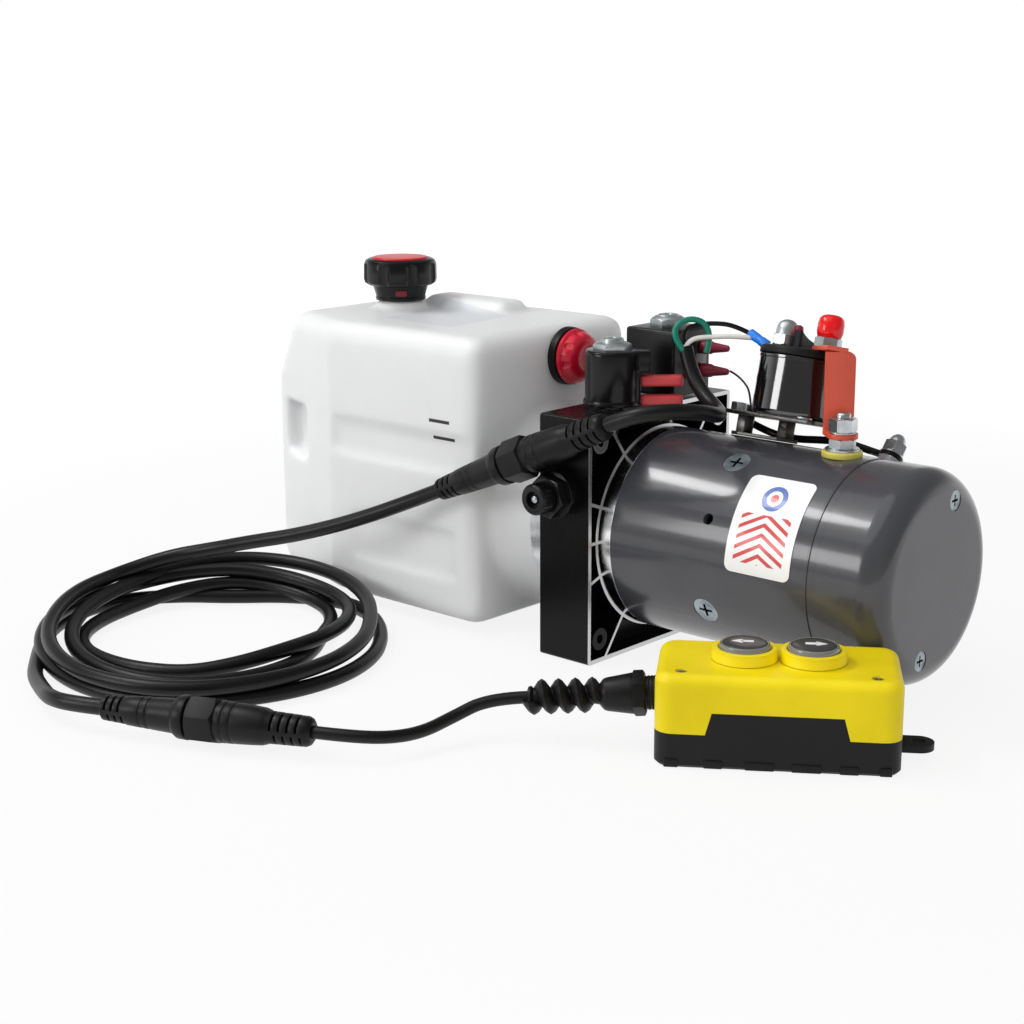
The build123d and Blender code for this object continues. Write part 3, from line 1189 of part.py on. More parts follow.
# ---------------------------------------------------------------- harness
def on_contactor(x, y, height):
    """A point over the contactor's cap, in the part's own frame."""
    return tuple(CONTACTOR.from_local_coords(Vector(x, y, STUD_BASE + height)))


def lug():
    """The blue ring terminal on the contactor's coil stud."""
    x = stud_places()[0]
    ring = rod(LUG_RADIUS, (x, 0, 0), (x, 0, LUG_THICKNESS))
    ring += block((x - LUG_RADIUS - 4, -2.4, 0), (x, 2.4, LUG_THICKNESS))
    ring += rod(LUG_BARREL_RADIUS, (x - LUG_RADIUS - 3, 0, LUG_BARREL_RADIUS), LUG_MOUTH)
    ring -= rod(STUD_RADIUS + SEAT_GAP, (x, 0, 0), (x, 0, LUG_THICKNESS))
    return CONTACTOR * Pos(0, 0, STUD_BASE) * ring


def tie_loop():
    """The green core, wound once round the cable's end."""
    end = Vector(*HARNESS[-1])
    before = Vector(*HARNESS[-2])
    turn = Plane(origin=end - (end - before).normalized() * 6, z_dir=end - before)
    return turn * Torus(CORD_RADIUS + WIRE_RADIUS + FACE_GAP, WIRE_RADIUS)


def along_motor(points):
    """Points whose X is measured from the motor's mounting face."""
    return [(MOTOR_FACE + x, y, z) for x, y, z in points]


def harness_wires():
    """The lug and the two cores that run to it, the green core, and the leads to the bracket and ground stud."""
    end = Vector(*HARNESS[-1])
    heading = (end - Vector(*HARNESS[-2])).normalized()
    pieces = [lug(), tie_loop()]
    for side, crest in ((-1, WHITE_CORE_CREST), (1, BLACK_CORE_CREST)):
        start = end + heading * 0.7 + Vector(0, side * CORE_SPREAD, 0)
        mouth = on_contactor(LUG_MOUTH[0] - 1.2, side * CORE_SPREAD, LUG_MOUTH[2] + 0.4)
        pieces.append(lead([tuple(start)] + crest + [mouth], WIRE_RADIUS))
    pieces.append(lead(COIL_LEAD_START + along_motor(COIL_LEAD_END), THIN_WIRE_RADIUS))
    pieces.append(lead(along_motor(GROUND_LEAD), GROUND_WIRE_RADIUS))
    return group(pieces)


# ---------------------------------------------------------------- cord
def connector(start, end):
    """An in-line connector: two bodies with cord boots, and a waist under the coupling nut."""
    plane, length = aimed(start, end)
    boot = length * BOOT_SHARE
    nut_start = length * CONNECTOR_NUT_START
    nut_end = nut_start + CONNECTOR_NUT_LENGTH + 2 * FACE_GAP
    steps = [(0, boot, CONNECTOR_BOOT_RADIUS), (boot, nut_start, CONNECTOR_BODY_RADIUS),
             (nut_start, nut_end, CONNECTOR_WAIST_RADIUS), (nut_end, length - boot, CONNECTOR_BODY_RADIUS),
             (length - boot, length, CONNECTOR_BOOT_RADIUS)]
    body = rod(*reversed([(0, 0, steps[0][1]), (0, 0, steps[0][0]), steps[0][2]]))
    for low, high, radius in steps[1:]:
        body += rod(radius, (0, 0, low), (0, 0, high))
    return plane * body


def connector_nut(start, end):
    plane, length = aimed(start, end)
    low = length * CONNECTOR_NUT_START + FACE_GAP
    high = low + CONNECTOR_NUT_LENGTH
    nut = hexagon(CONNECTOR_NUT_FLATS, (0, 0, low), (0, 0, high))
    return plane * (nut - rod(CONNECTOR_WAIST_RADIUS + SLIDE_GAP, (0, 0, low), (0, 0, high)))


def cord_coil():
    """The outer shape of the loose coil on the floor."""
    ring = pipe(COIL_OUTER, COIL_INNER, (*COIL_CENTRE, 0), (*COIL_CENTRE, COIL_STACK))
    return fillet(ring.edges(), COIL_STACK * 0.3)


# ---------------------------------------------------------------- pendant, in its own frame
def pendant_shell():
    """The closed hollow case before it is parted."""
    plan = RectangleRounded(PENDANT_LENGTH, PENDANT_DEPTH, PENDANT_CORNER)
    outer = extrude(plan, PENDANT_HEIGHT)
    outer = fillet(outer.edges().group_by(Axis.Z)[-1], PENDANT_TOP_ROUND)
    outer = chamfer(outer.edges().group_by(Axis.Z)[0], 1.5)
    inner_plan = RectangleRounded(PENDANT_LENGTH - 2 * PENDANT_WALL, PENDANT_DEPTH - 2 * PENDANT_WALL,
                                  PENDANT_CORNER - PENDANT_WALL)
    inner = Pos(0, 0, PENDANT_WALL) * extrude(inner_plan, PENDANT_HEIGHT - 2 * PENDANT_WALL)
    return outer - inner


def base_region():
    """Everything below the stepped parting line."""
    end = PENDANT_LENGTH
    low_step, high_step = PARTING_STEP
    corners = [(-end, -5), (end, -5), (end, PARTING_LOW), (low_step, PARTING_LOW), (high_step, PARTING_HIGH),
               (-high_step, PARTING_HIGH), (-low_step, PARTING_LOW), (-end, PARTING_LOW)]
    frame = Plane(origin=(0, PENDANT_DEPTH, 0), x_dir=(1, 0, 0), z_dir=(0, -1, 0))
    return extrude(frame * make_face(Polyline(*corners, close=True)), 2 * PENDANT_DEPTH)


def cover_screw_places():
    """Two screws, both along the cover's near edge."""
    x = PENDANT_LENGTH / 2 - COVER_SCREW_INSETS[0]
    y = PENDANT_DEPTH / 2 - COVER_SCREW_INSETS[1]
    return [(side * x, -y) for side in (-1, 1)]


def gland_line():
    """Start and direction of the cord gland on the pendant's end, which droops a little."""
    length = GLAND_NECK + GLAND_NUT + RELIEF_SLEEVE + RELIEF_RIBS * RELIEF_RIB_PITCH
    drop = GLAND_DROP / length
    return Plane(origin=(-PENDANT_LENGTH / 2, 0, GLAND_HEIGHT), z_dir=(-1, 0, -drop))


def pendant_base():
    body = pendant_shell() & base_region()
    post_top = PENDANT_HEIGHT - PENDANT_WALL
    for x, y in cover_screw_places():
        body += rod(POST_RADIUS, (x, y, PENDANT_WALL - 0.5), (x, y, post_top))
        body -= rod(COVER_SCREW_RADIUS + SEAT_GAP, (x, y, PENDANT_WALL + 4), (x, y, post_top))
    x = PENDANT_LENGTH / 2
    tongue = block((x - 1, -EYE_WIDTH / 2, EYE_HEIGHT), (x + EYE_LENGTH - EYE_WIDTH / 2, EYE_WIDTH / 2,
                                                       EYE_HEIGHT + EYE_THICKNESS))
    eye = (x + EYE_LENGTH - EYE_WIDTH / 2, 0)
    tongue += rod(EYE_WIDTH / 2, (*eye, EYE_HEIGHT), (*eye, EYE_HEIGHT + EYE_THICKNESS))
    tongue -= rod(EYE_HOLE_RADIUS, (*eye, EYE_HEIGHT), (*eye, EYE_HEIGHT + EYE_THICKNESS))
    return PENDANT * (body + tongue - gland_hole())


def gland_hole():
    return gland_line() * rod(GLAND_NECK_RADIUS + SEAT_GAP, (0, 0, -PENDANT_WALL - 3), (0, 0, 1))


def button_places():
    return [side * BUTTON_SPACING / 2 for side in (-1, 1)]


def pendant_cover():
    body = pendant_shell() - base_region()
    top = PENDANT_HEIGHT
    for x in button_places():
        body += rod(COLLAR_RADIUS, (x, 0, top - 1), (x, 0, top + COLLAR_HEIGHT))
    for x in button_places():
        body -= rod(BUTTON_RIM_RADIUS + SLIDE_GAP, (x, 0, top - PENDANT_WALL - 1), (x, 0, top + COLLAR_HEIGHT))
    for x, y in cover_screw_places():
        body -= rod(COVER_SCREW_RADIUS + SEAT_GAP, (x, y, top - PENDANT_WALL), (x, y, top))
        body -= rod(COVER_SCREW_HEAD + SEAT_GAP, (x, y, top - COVER_SCREW_RECESS), (x, y, top + 1))
    return PENDANT * (body - gland_hole())


def pendant_button(x):
    """A push button: a dark cap with a rim, standing just above its collar."""
    top = PENDANT_HEIGHT + COLLAR_HEIGHT + BUTTON_PROUD
    rim_top = top - BUTTON_RIM_DROP
    cap = rod(BUTTON_RADIUS, (x, 0, top - BUTTON_LENGTH), (x, 0, top))
    cap = fillet(cap.edges().group_by(Axis.Z)[-1], 0.8)
    rim = pipe(BUTTON_RIM_RADIUS, BUTTON_RADIUS, (x, 0, rim_top - 6), (x, 0, rim_top))
    return PENDANT * group([cap, rim])


def pendant_switch():
    """One contact block under each button, standing on the base."""
    top = PENDANT_HEIGHT + COLLAR_HEIGHT + BUTTON_PROUD - BUTTON_LENGTH - BUTTON_TRAVEL - FACE_GAP
    half = SWITCH_WIDTH / 2
    deep = SWITCH_DEPTH / 2
    blocks = [PENDANT * block((x - half, -deep, PENDANT_WALL), (x + half, deep, top)) for x in button_places()]
    return group(blocks)


def pendant_screws():
    screws = []
    top = PENDANT_HEIGHT - 0.3
    seat = PENDANT_HEIGHT - COVER_SCREW_RECESS
    for x, y in cover_screw_places():
        screw = rod(COVER_SCREW_HEAD, (x, y, seat), (x, y, top))
        screw += rod(COVER_SCREW_RADIUS, (x, y, PENDANT_HEIGHT - 18), (x, y, seat))
        screws.append(PENDANT * (screw - Pos(x, y, top) * cross_recess(1.8, 0.8)))
    return group(screws)


def strain_relief():
    """The gland's nut, and a soft sleeve whose ribs let the cord bend."""
    line = gland_line()
    nut_end = GLAND_NECK + GLAND_NUT
    nut = rod(GLAND_NECK_RADIUS, (0, 0, -PENDANT_WALL - 1), (0, 0, GLAND_NECK))
    nut += hexagon(GLAND_NUT_FLATS, (0, 0, GLAND_NECK), (0, 0, nut_end))
    sleeve_end = nut_end + RELIEF_SLEEVE
    ribs_end = sleeve_end + RELIEF_RIBS * RELIEF_RIB_PITCH
    sleeve = rod(RELIEF_SLEEVE_RADIUS, (0, 0, nut_end), (0, 0, sleeve_end))
    sleeve += rod(RELIEF_CORE_RADIUS, (0, 0, sleeve_end), (0, 0, ribs_end))
    for rib in range(RELIEF_RIBS):
        start = sleeve_end + (rib + 0.5) * RELIEF_RIB_PITCH
        sleeve += rod(RELIEF_RIB_RADIUS, (0, 0, start), (0, 0, start + RELIEF_RIB_PITCH * 0.45))
    return group([PENDANT * (line * nut), PENDANT * (line * sleeve)])


def strain_relief_point(share):
    """A point on the strain relief's line: 0 at the pendant's wall, 1 where the cord comes out."""
    length = GLAND_NECK + GLAND_NUT + RELIEF_SLEEVE + RELIEF_RIBS * RELIEF_RIB_PITCH
    local = gland_line().from_local_coords(Vector(0, 0, share * length))
    return tuple(PENDANT.from_local_coords(local))


def cord_points():
    """Every cord's points, each leaving its connector or the pendant straight."""
    upper = (UPPER_CONNECTOR_START, UPPER_CONNECTOR_END)
    lower = (LOWER_CONNECTOR_START, LOWER_CONNECTOR_END)
    pendant = (strain_relief_point(0), strain_relief_point(1))
    return {
        "harness": [upper[1], beyond(*upper)] + HARNESS,
        "upper": [upper[0], beyond(*reversed(upper))] + UPPER_CORD,
        "tail": [lower[0], beyond(*reversed(lower))] + COIL_TAIL,
        "lower": [lower[1], beyond(*lower)] + LOWER_CORD + [beyond(*pendant), pendant[1]],
    }


# ---------------------------------------------------------------- every node
def main():
    cords = cord_points()
    for name, points in cords.items():
        print(name, [tuple(round(value, 2) for value in point) for point in points])
    nodes = {
        "manifold": manifold(),
        "relief_valve": relief_valve(),
        "relief_poppet": relief_poppet(),
        "valve_stems": group([valve_stem(0), valve_stem(1)]),
        "valve_plunger_front": valve_plunger(0),
        "valve_plunger_rear": valve_plunger(1),
        "coil_front": valve_coil(0),
        "coil_rear": valve_coil(1),
        "coil_nuts": group([coil_nut(0), coil_nut(1)]),
        "spade_boots": spade_boots(),
        "drive_gear": drive_gear(),
        "idler_gear": idler_gear(),
        "pump_body": pump_body(),
        "pump_cover": pump_cover(),
        "pump_bolts": pump_bolts(),
        "oil_tubes": oil_tubes(),
        "suction_strainer": suction_strainer(),
        "tank_shell": tank_shell(),
        "tank_seals": tank_seals(),
        "tank_clamp": tank_clamp(),
        "filler_cap": filler_cap(),
        "cap_disc": cap_disc(),
        "fill_plug": fill_plug(),
        "motor_ring": motor_ring(),
        "motor_housing": motor_housing(),
        "motor_end_cap": motor_end_cap(),
        "armature": armature(),
        "motor_bearings": motor_bearings(),
        "field_magnets": field_magnets(),
        "brush_gear": brush_gear(),
        "motor_screws": motor_screws(),
        "motor_label": motor_label(),
        "terminal_insulator": terminal_insulator(),
        "terminal_stud": terminal_stud(),
        "ground_stud": ground_stud(),
        "contactor_bracket": contactor_bracket(),
        "bracket_bolts": bracket_bolts(),
        "contactor_can": contactor_can(),
        "contactor_plunger": contactor_plunger(),
        "contactor_cap": contactor_cap(),
        "contactor_studs": contactor_studs(),
        "stud_boot": stud_boot(),
        "busbar": busbar(),
        "harness_cable": cord("harness_cable", cords["harness"], CORD_RADIUS),
        "harness_wires": harness_wires(),
        "connector_upper": connector(UPPER_CONNECTOR_START, UPPER_CONNECTOR_END),
        "connector_nut_upper": connector_nut(UPPER_CONNECTOR_START, UPPER_CONNECTOR_END),
        "connector_lower": connector(LOWER_CONNECTOR_START, LOWER_CONNECTOR_END),
        "connector_nut_lower": connector_nut(LOWER_CONNECTOR_START, LOWER_CONNECTOR_END),
        "cord_upper": cord("cord_upper", cords["upper"], CORD_RADIUS),
        "cord_coil": cord_coil(),
        "cord_lower": group([cord("cord_lower", cords["lower"], PENDANT_CORD_RADIUS),
                             cord("coil_tail", cords["tail"], CORD_RADIUS)]),
        "pendant_base": pendant_base(),
        "pendant_cover": pendant_cover(),
        "pendant_screws": pendant_screws(),
        "pendant_switch": pendant_switch(),
        "strain_relief": strain_relief(),
        "button_left": pendant_button(button_places()[0]),
        "button_right": pendant_button(button_places()[1]),
    }
    for name, shape in nodes.items():
        write(name, shape)
    print(len(nodes), "nodes")


main()
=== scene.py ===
"""A 12 V hydraulic power unit with its pendant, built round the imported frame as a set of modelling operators."""

import math

import bpy
from mathutils import Matrix, Vector


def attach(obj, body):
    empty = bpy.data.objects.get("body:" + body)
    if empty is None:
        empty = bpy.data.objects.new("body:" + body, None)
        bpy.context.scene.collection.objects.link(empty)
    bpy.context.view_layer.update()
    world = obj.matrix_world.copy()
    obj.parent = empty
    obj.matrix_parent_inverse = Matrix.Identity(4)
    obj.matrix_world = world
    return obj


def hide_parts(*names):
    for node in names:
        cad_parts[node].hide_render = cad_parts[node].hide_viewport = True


bl_info = {
    "name": "Hydraulic Power Unit",
    "version": (1, 0, 0),
    "blender": (4, 5, 0),
    "location": "View3D > Sidebar > Power Unit",
    "description": "Tank, block, motor, contactor, cord and pendant of a small hydraulic power unit",
    "category": "Object",
}

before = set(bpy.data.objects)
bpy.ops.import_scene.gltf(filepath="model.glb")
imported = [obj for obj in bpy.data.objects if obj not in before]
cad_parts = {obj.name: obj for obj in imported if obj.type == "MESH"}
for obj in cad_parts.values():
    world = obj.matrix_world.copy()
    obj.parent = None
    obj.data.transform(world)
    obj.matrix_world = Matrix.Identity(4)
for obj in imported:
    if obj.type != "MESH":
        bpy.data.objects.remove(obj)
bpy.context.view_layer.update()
MM = 0.001

# Places that the frame's solids have, in millimetres.
AXIS_HEIGHT = 69.5
MOTOR_RADIUS = 57.15
MOTOR_END = 195.6
LAST_POLE_SCREW = 150.0
TANK_FAR, TANK_NEAR = -266.3, -62.3
TANK_SIDE = 69.0
TANK_TOP = 175.5
FILLER_X = -192.0
PLUG_PLACE = (TANK_NEAR, 10.0, 157.5)
FRONT_VALVE, FRONT_TURN = (0.0, -23.4, 0.0), math.radians(43.0)
REAR_VALVE, REAR_TURN = (0.0, 27.0, 0.0), math.radians(14.0)
RELIEF_FACE = (0.0, -90.3, 97.0)
CAN_X = 1.5
STUD_BASE = 108.3
STUD_X = (-12.0, 15.0)
TERMINAL_PLACE = (136.2, 0.0, AXIS_HEIGHT)
GROUND_PLACE = (138.2, 0.0, AXIS_HEIGHT)
GROUND_TURN = math.radians(43.0)
BUTTON_X = 16.5

# The frames that the pendant and the contactor are modelled in: the contactor's height is from the motor's axis.
PENDANT = Matrix.Translation((168.0, -100.0, 0.0)) @ Matrix.Rotation(math.radians(34.5), 4, "Z")
CONTACTOR = Matrix.Translation((92.7, 0.0, AXIS_HEIGHT)) @ Matrix.Rotation(math.radians(-14.0), 4, "X")


# ---------------------------------------------------------------- sizes and colours that a user would change
class CameraSettings(bpy.types.PropertyGroup):
    """Where the camera stands and how it looks."""

    place: bpy.props.FloatVectorProperty(
        name="Place", description="Where the camera stands", default=(0.6437, -0.81181, 0.32917), subtype="TRANSLATION")
    turn: bpy.props.FloatVectorProperty(
        name="Turn", description="Height angle, roll and heading of the camera",
        default=(math.radians(76.1337), math.radians(-0.2406), math.radians(42.3996)), subtype="EULER")
    lens: bpy.props.FloatProperty(
        name="Lens", description="Focal length on a 36 mm sensor", default=64.7376, unit="CAMERA")


class LightSettings(bpy.types.PropertyGroup):
    """The soft studio light."""

    surround: bpy.props.FloatProperty(name="Surround", description="Strength of the even light", default=0.50, min=0.0)
    ceiling: bpy.props.FloatProperty(
        name="Ceiling", description="Brightness of the room in reflections", default=0.24, min=0.0)
    glow: bpy.props.FloatProperty(
        name="Glow", description="Share of the floor that is white without any light", default=0.80, subtype="FACTOR")
    overhead: bpy.props.FloatProperty(name="Overhead", description="Strength of the wide overhead light", default=0.7)
    front: bpy.props.FloatProperty(
        name="Front", description="Power of the two lamps in front", default=10.2, unit="POWER")
    upper_left: bpy.props.FloatProperty(
        name="Upper left", description="Power of the slim lamp high on the left", default=7.0, unit="POWER")
    right: bpy.props.FloatProperty(
        name="Right", description="Power of the wide lamp on the right", default=7.0, unit="POWER")


class ColourSettings(bpy.types.PropertyGroup):
    """Colours of the finishes."""

    tank: bpy.props.FloatVectorProperty(
        name="Tank", description="Natural polyethylene", default=(0.86, 0.865, 0.87), subtype="COLOR")
    motor: bpy.props.FloatVectorProperty(
        name="Motor", description="Grey motor paint", default=(0.056, 0.057, 0.065), subtype="COLOR")
    block: bpy.props.FloatVectorProperty(
        name="Block", description="Black anodised block", default=(0.003, 0.003, 0.0035), subtype="COLOR")
    yellow: bpy.props.FloatVectorProperty(
        name="Pendant", description="Yellow cover of the pendant", default=(0.90, 0.71, 0.001), subtype="COLOR")
    busbar: bpy.props.FloatVectorProperty(
        name="Busbar", description="Red coating of the busbar", default=(0.66, 0.085, 0.040), subtype="COLOR")
    red: bpy.props.FloatVectorProperty(
        name="Red caps", description="Red mouldings", default=(0.70, 0.006, 0.012), subtype="COLOR")
    rubber: bpy.props.FloatVectorProperty(
        name="Cord", description="Black cord jacket", default=(0.004, 0.004, 0.0045), subtype="COLOR")


class CordSettings(bpy.types.PropertyGroup):
    """Diameters of the cords."""

    main: bpy.props.FloatProperty(name="Main", description="Diameter of the main cord", default=0.0085, unit="LENGTH")
    pendant: bpy.props.FloatProperty(
        name="Pendant", description="Diameter of the pendant's cord", default=0.0064, unit="LENGTH")


# ---------------------------------------------------------------- shader maths
class Wire:
    """A node's output that takes part in expressions: each operator adds the Math node it stands for."""

    def __init__(self, owner, socket):
        self.owner = owner
        self.socket = socket

    def maths(self, operation, *values):
        return self.owner.node("ShaderNodeMath", {"operation": operation}, *values)

    def __add__(self, other):
        return self.maths("ADD", self, other)

    __radd__ = __add__

    def __mul__(self, other):
        return self.maths("MULTIPLY", self, other)

    __rmul__ = __mul__

    def __sub__(self, other):
        return self.maths("SUBTRACT", self, other)

    def __rsub__(self, other):
        return self.maths("SUBTRACT", other, self)

    def __truediv__(self, other):
        return self.maths("DIVIDE", self, other)

    def __pow__(self, other):
        return self.maths("POWER", self, other)

    def __neg__(self):
        return self.maths("MULTIPLY", self, -1.0)

    def __abs__(self):
        return self.maths("ABSOLUTE", self)

    def above(self, edge):
        return self.maths("GREATER_THAN", self, edge)

    def below(self, edge):
        return self.maths("LESS_THAN", self, edge)

    def most(self, other):
        return self.maths("MAXIMUM", self, other)

    def sine(self):
        return self.maths("SINE", self)

    def fraction(self):
        return self.maths("FRACT", self)

    def ramp(self, low, high, first=0.0, last=1.0):
        """first at low, last at high, smooth between."""
        settings = {"interpolation_type": "SMOOTHSTEP"}
        return self.owner.node("ShaderNodeMapRange", settings, self, low, high, first, last)

    def band(self, low, high, soft):
        """1 between low and high, with soft edges."""
        return self.ramp(low - soft, low) * (1.0 - self.ramp(high, high + soft))


def away(across, up):
    """Distance from the place where both are 0."""
    return (across * across + up * up) ** 0.5


class NodeTree:
    """A node tree and the one way in which nodes are added to it."""

    def __init__(self, tree):
        self.tree = tree
        tree.nodes.clear()

    def put(self, socket, value):
        if isinstance(value, Wire):
            self.tree.links.new(value.socket, socket)
        elif socket.type == "RGBA" and not isinstance(value, (int, float)) and len(value) == 3:
            socket.default_value = (*value, 1.0)
        elif value is not None:
            socket.default_value = value

    def node(self, kind, settings, *values, out=0, **named):
        """A node of that kind, its settings first, then the values or links of its sockets."""
        made = self.tree.nodes.new(kind)
        for key, value in settings.items():
            setattr(made, key, value)
        for socket, value in zip(made.inputs, values):
            self.put(socket, value)
        for name, value in named.items():
            self.put(made.inputs[name.replace("_", " ")], value)
        return Wire(self, made.outputs[out])

    def place(self, space="Object"):
        return self.node("ShaderNodeTexCoord", {}, out=space)

    def seen(self, *kinds):
        """1 for rays of those kinds."""
        path = self.tree.nodes.new("ShaderNodeLightPath")
        total, *others = [Wire(self, path.outputs["Is %s Ray" % kind]) for kind in kinds]
        for ray in others:
            total = total.most(ray)
        return total


class Finish(NodeTree):
    """A material and the nodes that make it."""

    def __init__(self, name, colour, roughness, **sockets):
        self.material = bpy.data.materials.new(name)
        self.material.use_nodes = True
        super().__init__(self.material.node_tree)
        self.output = self.tree.nodes.new("ShaderNodeOutputMaterial").inputs[0]
        self.shader = self.tree.nodes.new("ShaderNodeBsdfPrincipled")
        self.paint = Wire(self, self.shader.outputs[0])
        self.put(self.output, self.paint)
        self.set("Base Color", colour)
        self.set("Roughness", roughness)
        for socket, value in sockets.items():
            self.set(socket.replace("_", " "), value)

    def set(self, name, value):
        self.put(self.shader.inputs[name], value)

    def xyz(self):
        """The three object coordinates, in millimetres."""
        split = self.tree.nodes.new("ShaderNodeSeparateXYZ")
        self.put(split.inputs[0], self.place())
        return [Wire(self, socket) * 1000.0 for socket in split.outputs]

    def noise(self, scale, detail=3.0, roughness=0.5, stretch=None, vector=None):
        """Noise on the object coordinates, stretched along each axis, or on a vector."""
        at = vector or self.place()
        if stretch:
            at = self.node("ShaderNodeMapping", {}, Vector=at, Scale=stretch)
        return self.node("ShaderNodeTexNoise", {}, Vector=at, Scale=scale, Detail=detail, Roughness=roughness)

    def mix(self, factor, first, second):
        made = self.tree.nodes.new("ShaderNodeMix")
        made.data_type = "RGBA"
        self.put(made.inputs["Factor"], factor)
        colours = [socket for socket in made.inputs if socket.type == "RGBA"]
        self.put(colours[0], first)
        self.put(colours[1], second)
        return Wire(self, [socket for socket in made.outputs if socket.type == "RGBA"][0])

    def bump(self, height, depth, strength=1.0, rounded=None):
        """Relief of that depth in millimetres, over edges that are rounded if rounded is a radius."""
        normal = self.node("ShaderNodeBevel", {"samples": 4}, rounded * MM) if rounded else None
        self.set("Normal", self.node(
            "ShaderNodeBump", {}, Height=height, Distance=depth * MM, Strength=strength, Normal=normal))


# ---------------------------------------------------------------- finishes
WHITE = EVEN = (1.0, 1.0, 1.0)
STEEL_GREY = (0.62, 0.62, 0.63)
PAPER = (0.86, 0.86, 0.86)
PRINT_RED = (0.62, 0.05, 0.05)


def shaded(colour, share):
    return [channel * share for channel in colour]


def tank_finish(colours):
    """Cloudy polyethylene with the two level bars and a blank film on its top."""
    made = Finish("tank_polyethylene", colours.tank, 0.36, Subsurface_Weight=0.55, Subsurface_Scale=0.012,
                  Subsurface_Radius=EVEN, IOR=1.5, Specular_IOR_Level=0.42)
    x, y, z = made.xyz()
    tint = made.mix(made.noise(9.0, 3.0).ramp(0.35, 0.75), colours.tank, shaded(colours.tank, 0.95))
    full = x.band(-99.4, -83.3, 0.25) * z.band(124.5, 126.2, 0.25)
    low = x.band(-97.2, -80.2, 0.25) * z.band(114.5, 116.2, 0.25)
    marks = (full + low) * y.below(-60.0)
    film = (x + 0.12 * y).band(-172.0, -113.0, 0.3) * (y + 0.07 * x).band(-49.0, 8.0, 0.3) * z.above(174.2)
    clear = made.mix(film * 0.5, tint, (0.60, 0.65, 0.71))
    made.set("Base Color", made.mix(marks, clear, (0.02, 0.02, 0.022)))
    ripple = made.noise(45.0, 3.0)
    made.set("Roughness", 0.33 + 0.1 * ripple)
    made.bump(made.noise(900.0, 2.0) * 0.12 + ripple, 0.35, 0.5)
    return made.material


def block_finish(colours):
    """Black anodised block with a milled rim round its motor side, dark round the two lower bosses."""
    made = Finish("black_anodised", colours.block, 0.2, Metallic=0.0, Specular_IOR_Level=0.16)
    x, y, z = made.xyz()
    rim = x.above(17.66) * away(abs(y) - 54.0, z - 13.5).above(7.4)
    milled = made.noise(60.0, 4.0, stretch=(1.0, 8.0, 0.5))
    made.set("Base Color", made.mix(rim, colours.block, STEEL_GREY))
    made.set("Metallic", rim)
    made.set("Roughness", 0.2 + 0.14 * milled + 0.04 * rim)
    made.bump(milled, 0.05, 0.5, rounded=0.5)
    return made.material


def metal_finish(name, colour, roughness, lines=EVEN, depth=0.03, spots=0.0):
    """Bare metal: fine grain stretched along its working direction, and cloudy wear."""
    made = Finish(name, colour, roughness, Metallic=1.0)
    grain = made.noise(420.0, 4.0, 0.6, stretch=lines)
    cloud = made.noise(70.0, 4.0, 0.6)
    made.set("Base Color", made.mix(cloud.ramp(0.38, 0.72), colour, shaded(colour, 0.72 - spots)))
    made.set("Roughness", roughness + 0.16 * cloud + 0.08 * grain - 0.08)
    made.bump(grain, depth, 0.5, rounded=0.35)
    return made.material


def screw_finish():
    """Blue-passivated screw heads, with painted shade on the parts sunk below the motor's side and end."""
    made = Finish("screw_zinc", (0.30, 0.35, 0.37), 0.4, Metallic=0.9)
    x, y, z = made.xyz()
    side_recess_shade = x.below(LAST_POLE_SCREW) * away(y, z - AXIS_HEIGHT).below(MOTOR_RADIUS - 0.9)
    end_recess_shade = x.above(LAST_POLE_SCREW) * x.below(MOTOR_END - 0.7)
    cloud = made.noise(120.0, 4.0, 0.6)
    head = made.mix(cloud.ramp(0.35, 0.7), (0.42, 0.47, 0.49), (0.20, 0.25, 0.28))
    # Painted shade: screw parts sunk into the motor's side and end cap are painted near-black.
    made.set("Base Color", made.mix(side_recess_shade + end_recess_shade, head, (0.01, 0.012, 0.013)))
    made.set("Roughness", 0.34 + 0.2 * cloud)
    made.bump(cloud, 0.05, 0.5, rounded=0.35)
    return made.material


def turned_finish(name, colour, roughness):
    """Metal turned on a lathe about the motor's axis."""
    made = Finish(name, colour, roughness, Metallic=1.0)
    x, y, z = made.xyz()
    along = made.node("ShaderNodeCombineXYZ", {}, x * 9.0, away(y, z - AXIS_HEIGHT) * 9.0, 0.0)
    grooves = made.noise(1.0, 3.0, 0.7, vector=along)
    made.set("Roughness", roughness + 0.12 * grooves)
    made.bump(grooves, 0.04, 0.6, rounded=0.4)
    return made.material


def paint_finish(colours):
    """Semi-gloss enamel with a little orange peel and dust."""
    made = Finish("motor_enamel", colours.motor, 0.2, Coat_Weight=0.45, Coat_Roughness=0.1, Specular_IOR_Level=0.4)
    cloud = made.noise(25.0, 4.0, 0.6)
    made.set("Base Color", made.mix(cloud.ramp(0.35, 0.7), colours.motor, shaded(colours.motor, 0.86)))
    made.set("Roughness", 0.2 + 0.1 * cloud)
    made.bump(made.noise(160.0, 2.0), 0.08, 0.3, rounded=0.4)
    return made.material


def plastic_finish(name, colour, roughness, grain=500.0, depth=0.03, rounded=0.4, **sockets):
    """A moulding: fine spark grain and slight shade changes."""
    made = Finish(name, colour, roughness, **sockets)
    fine = made.noise(grain, 3.0)
    cloud = made.noise(30.0, 3.0)
    made.set("Base Color", made.mix(cloud.ramp(0.3, 0.75), colour, shaded(colour, 0.88)))
    made.set("Roughness", roughness + 0.08 * cloud + 0.06 * fine - 0.06)
    made.bump(fine, depth, 0.6, rounded=rounded)
    return made.material


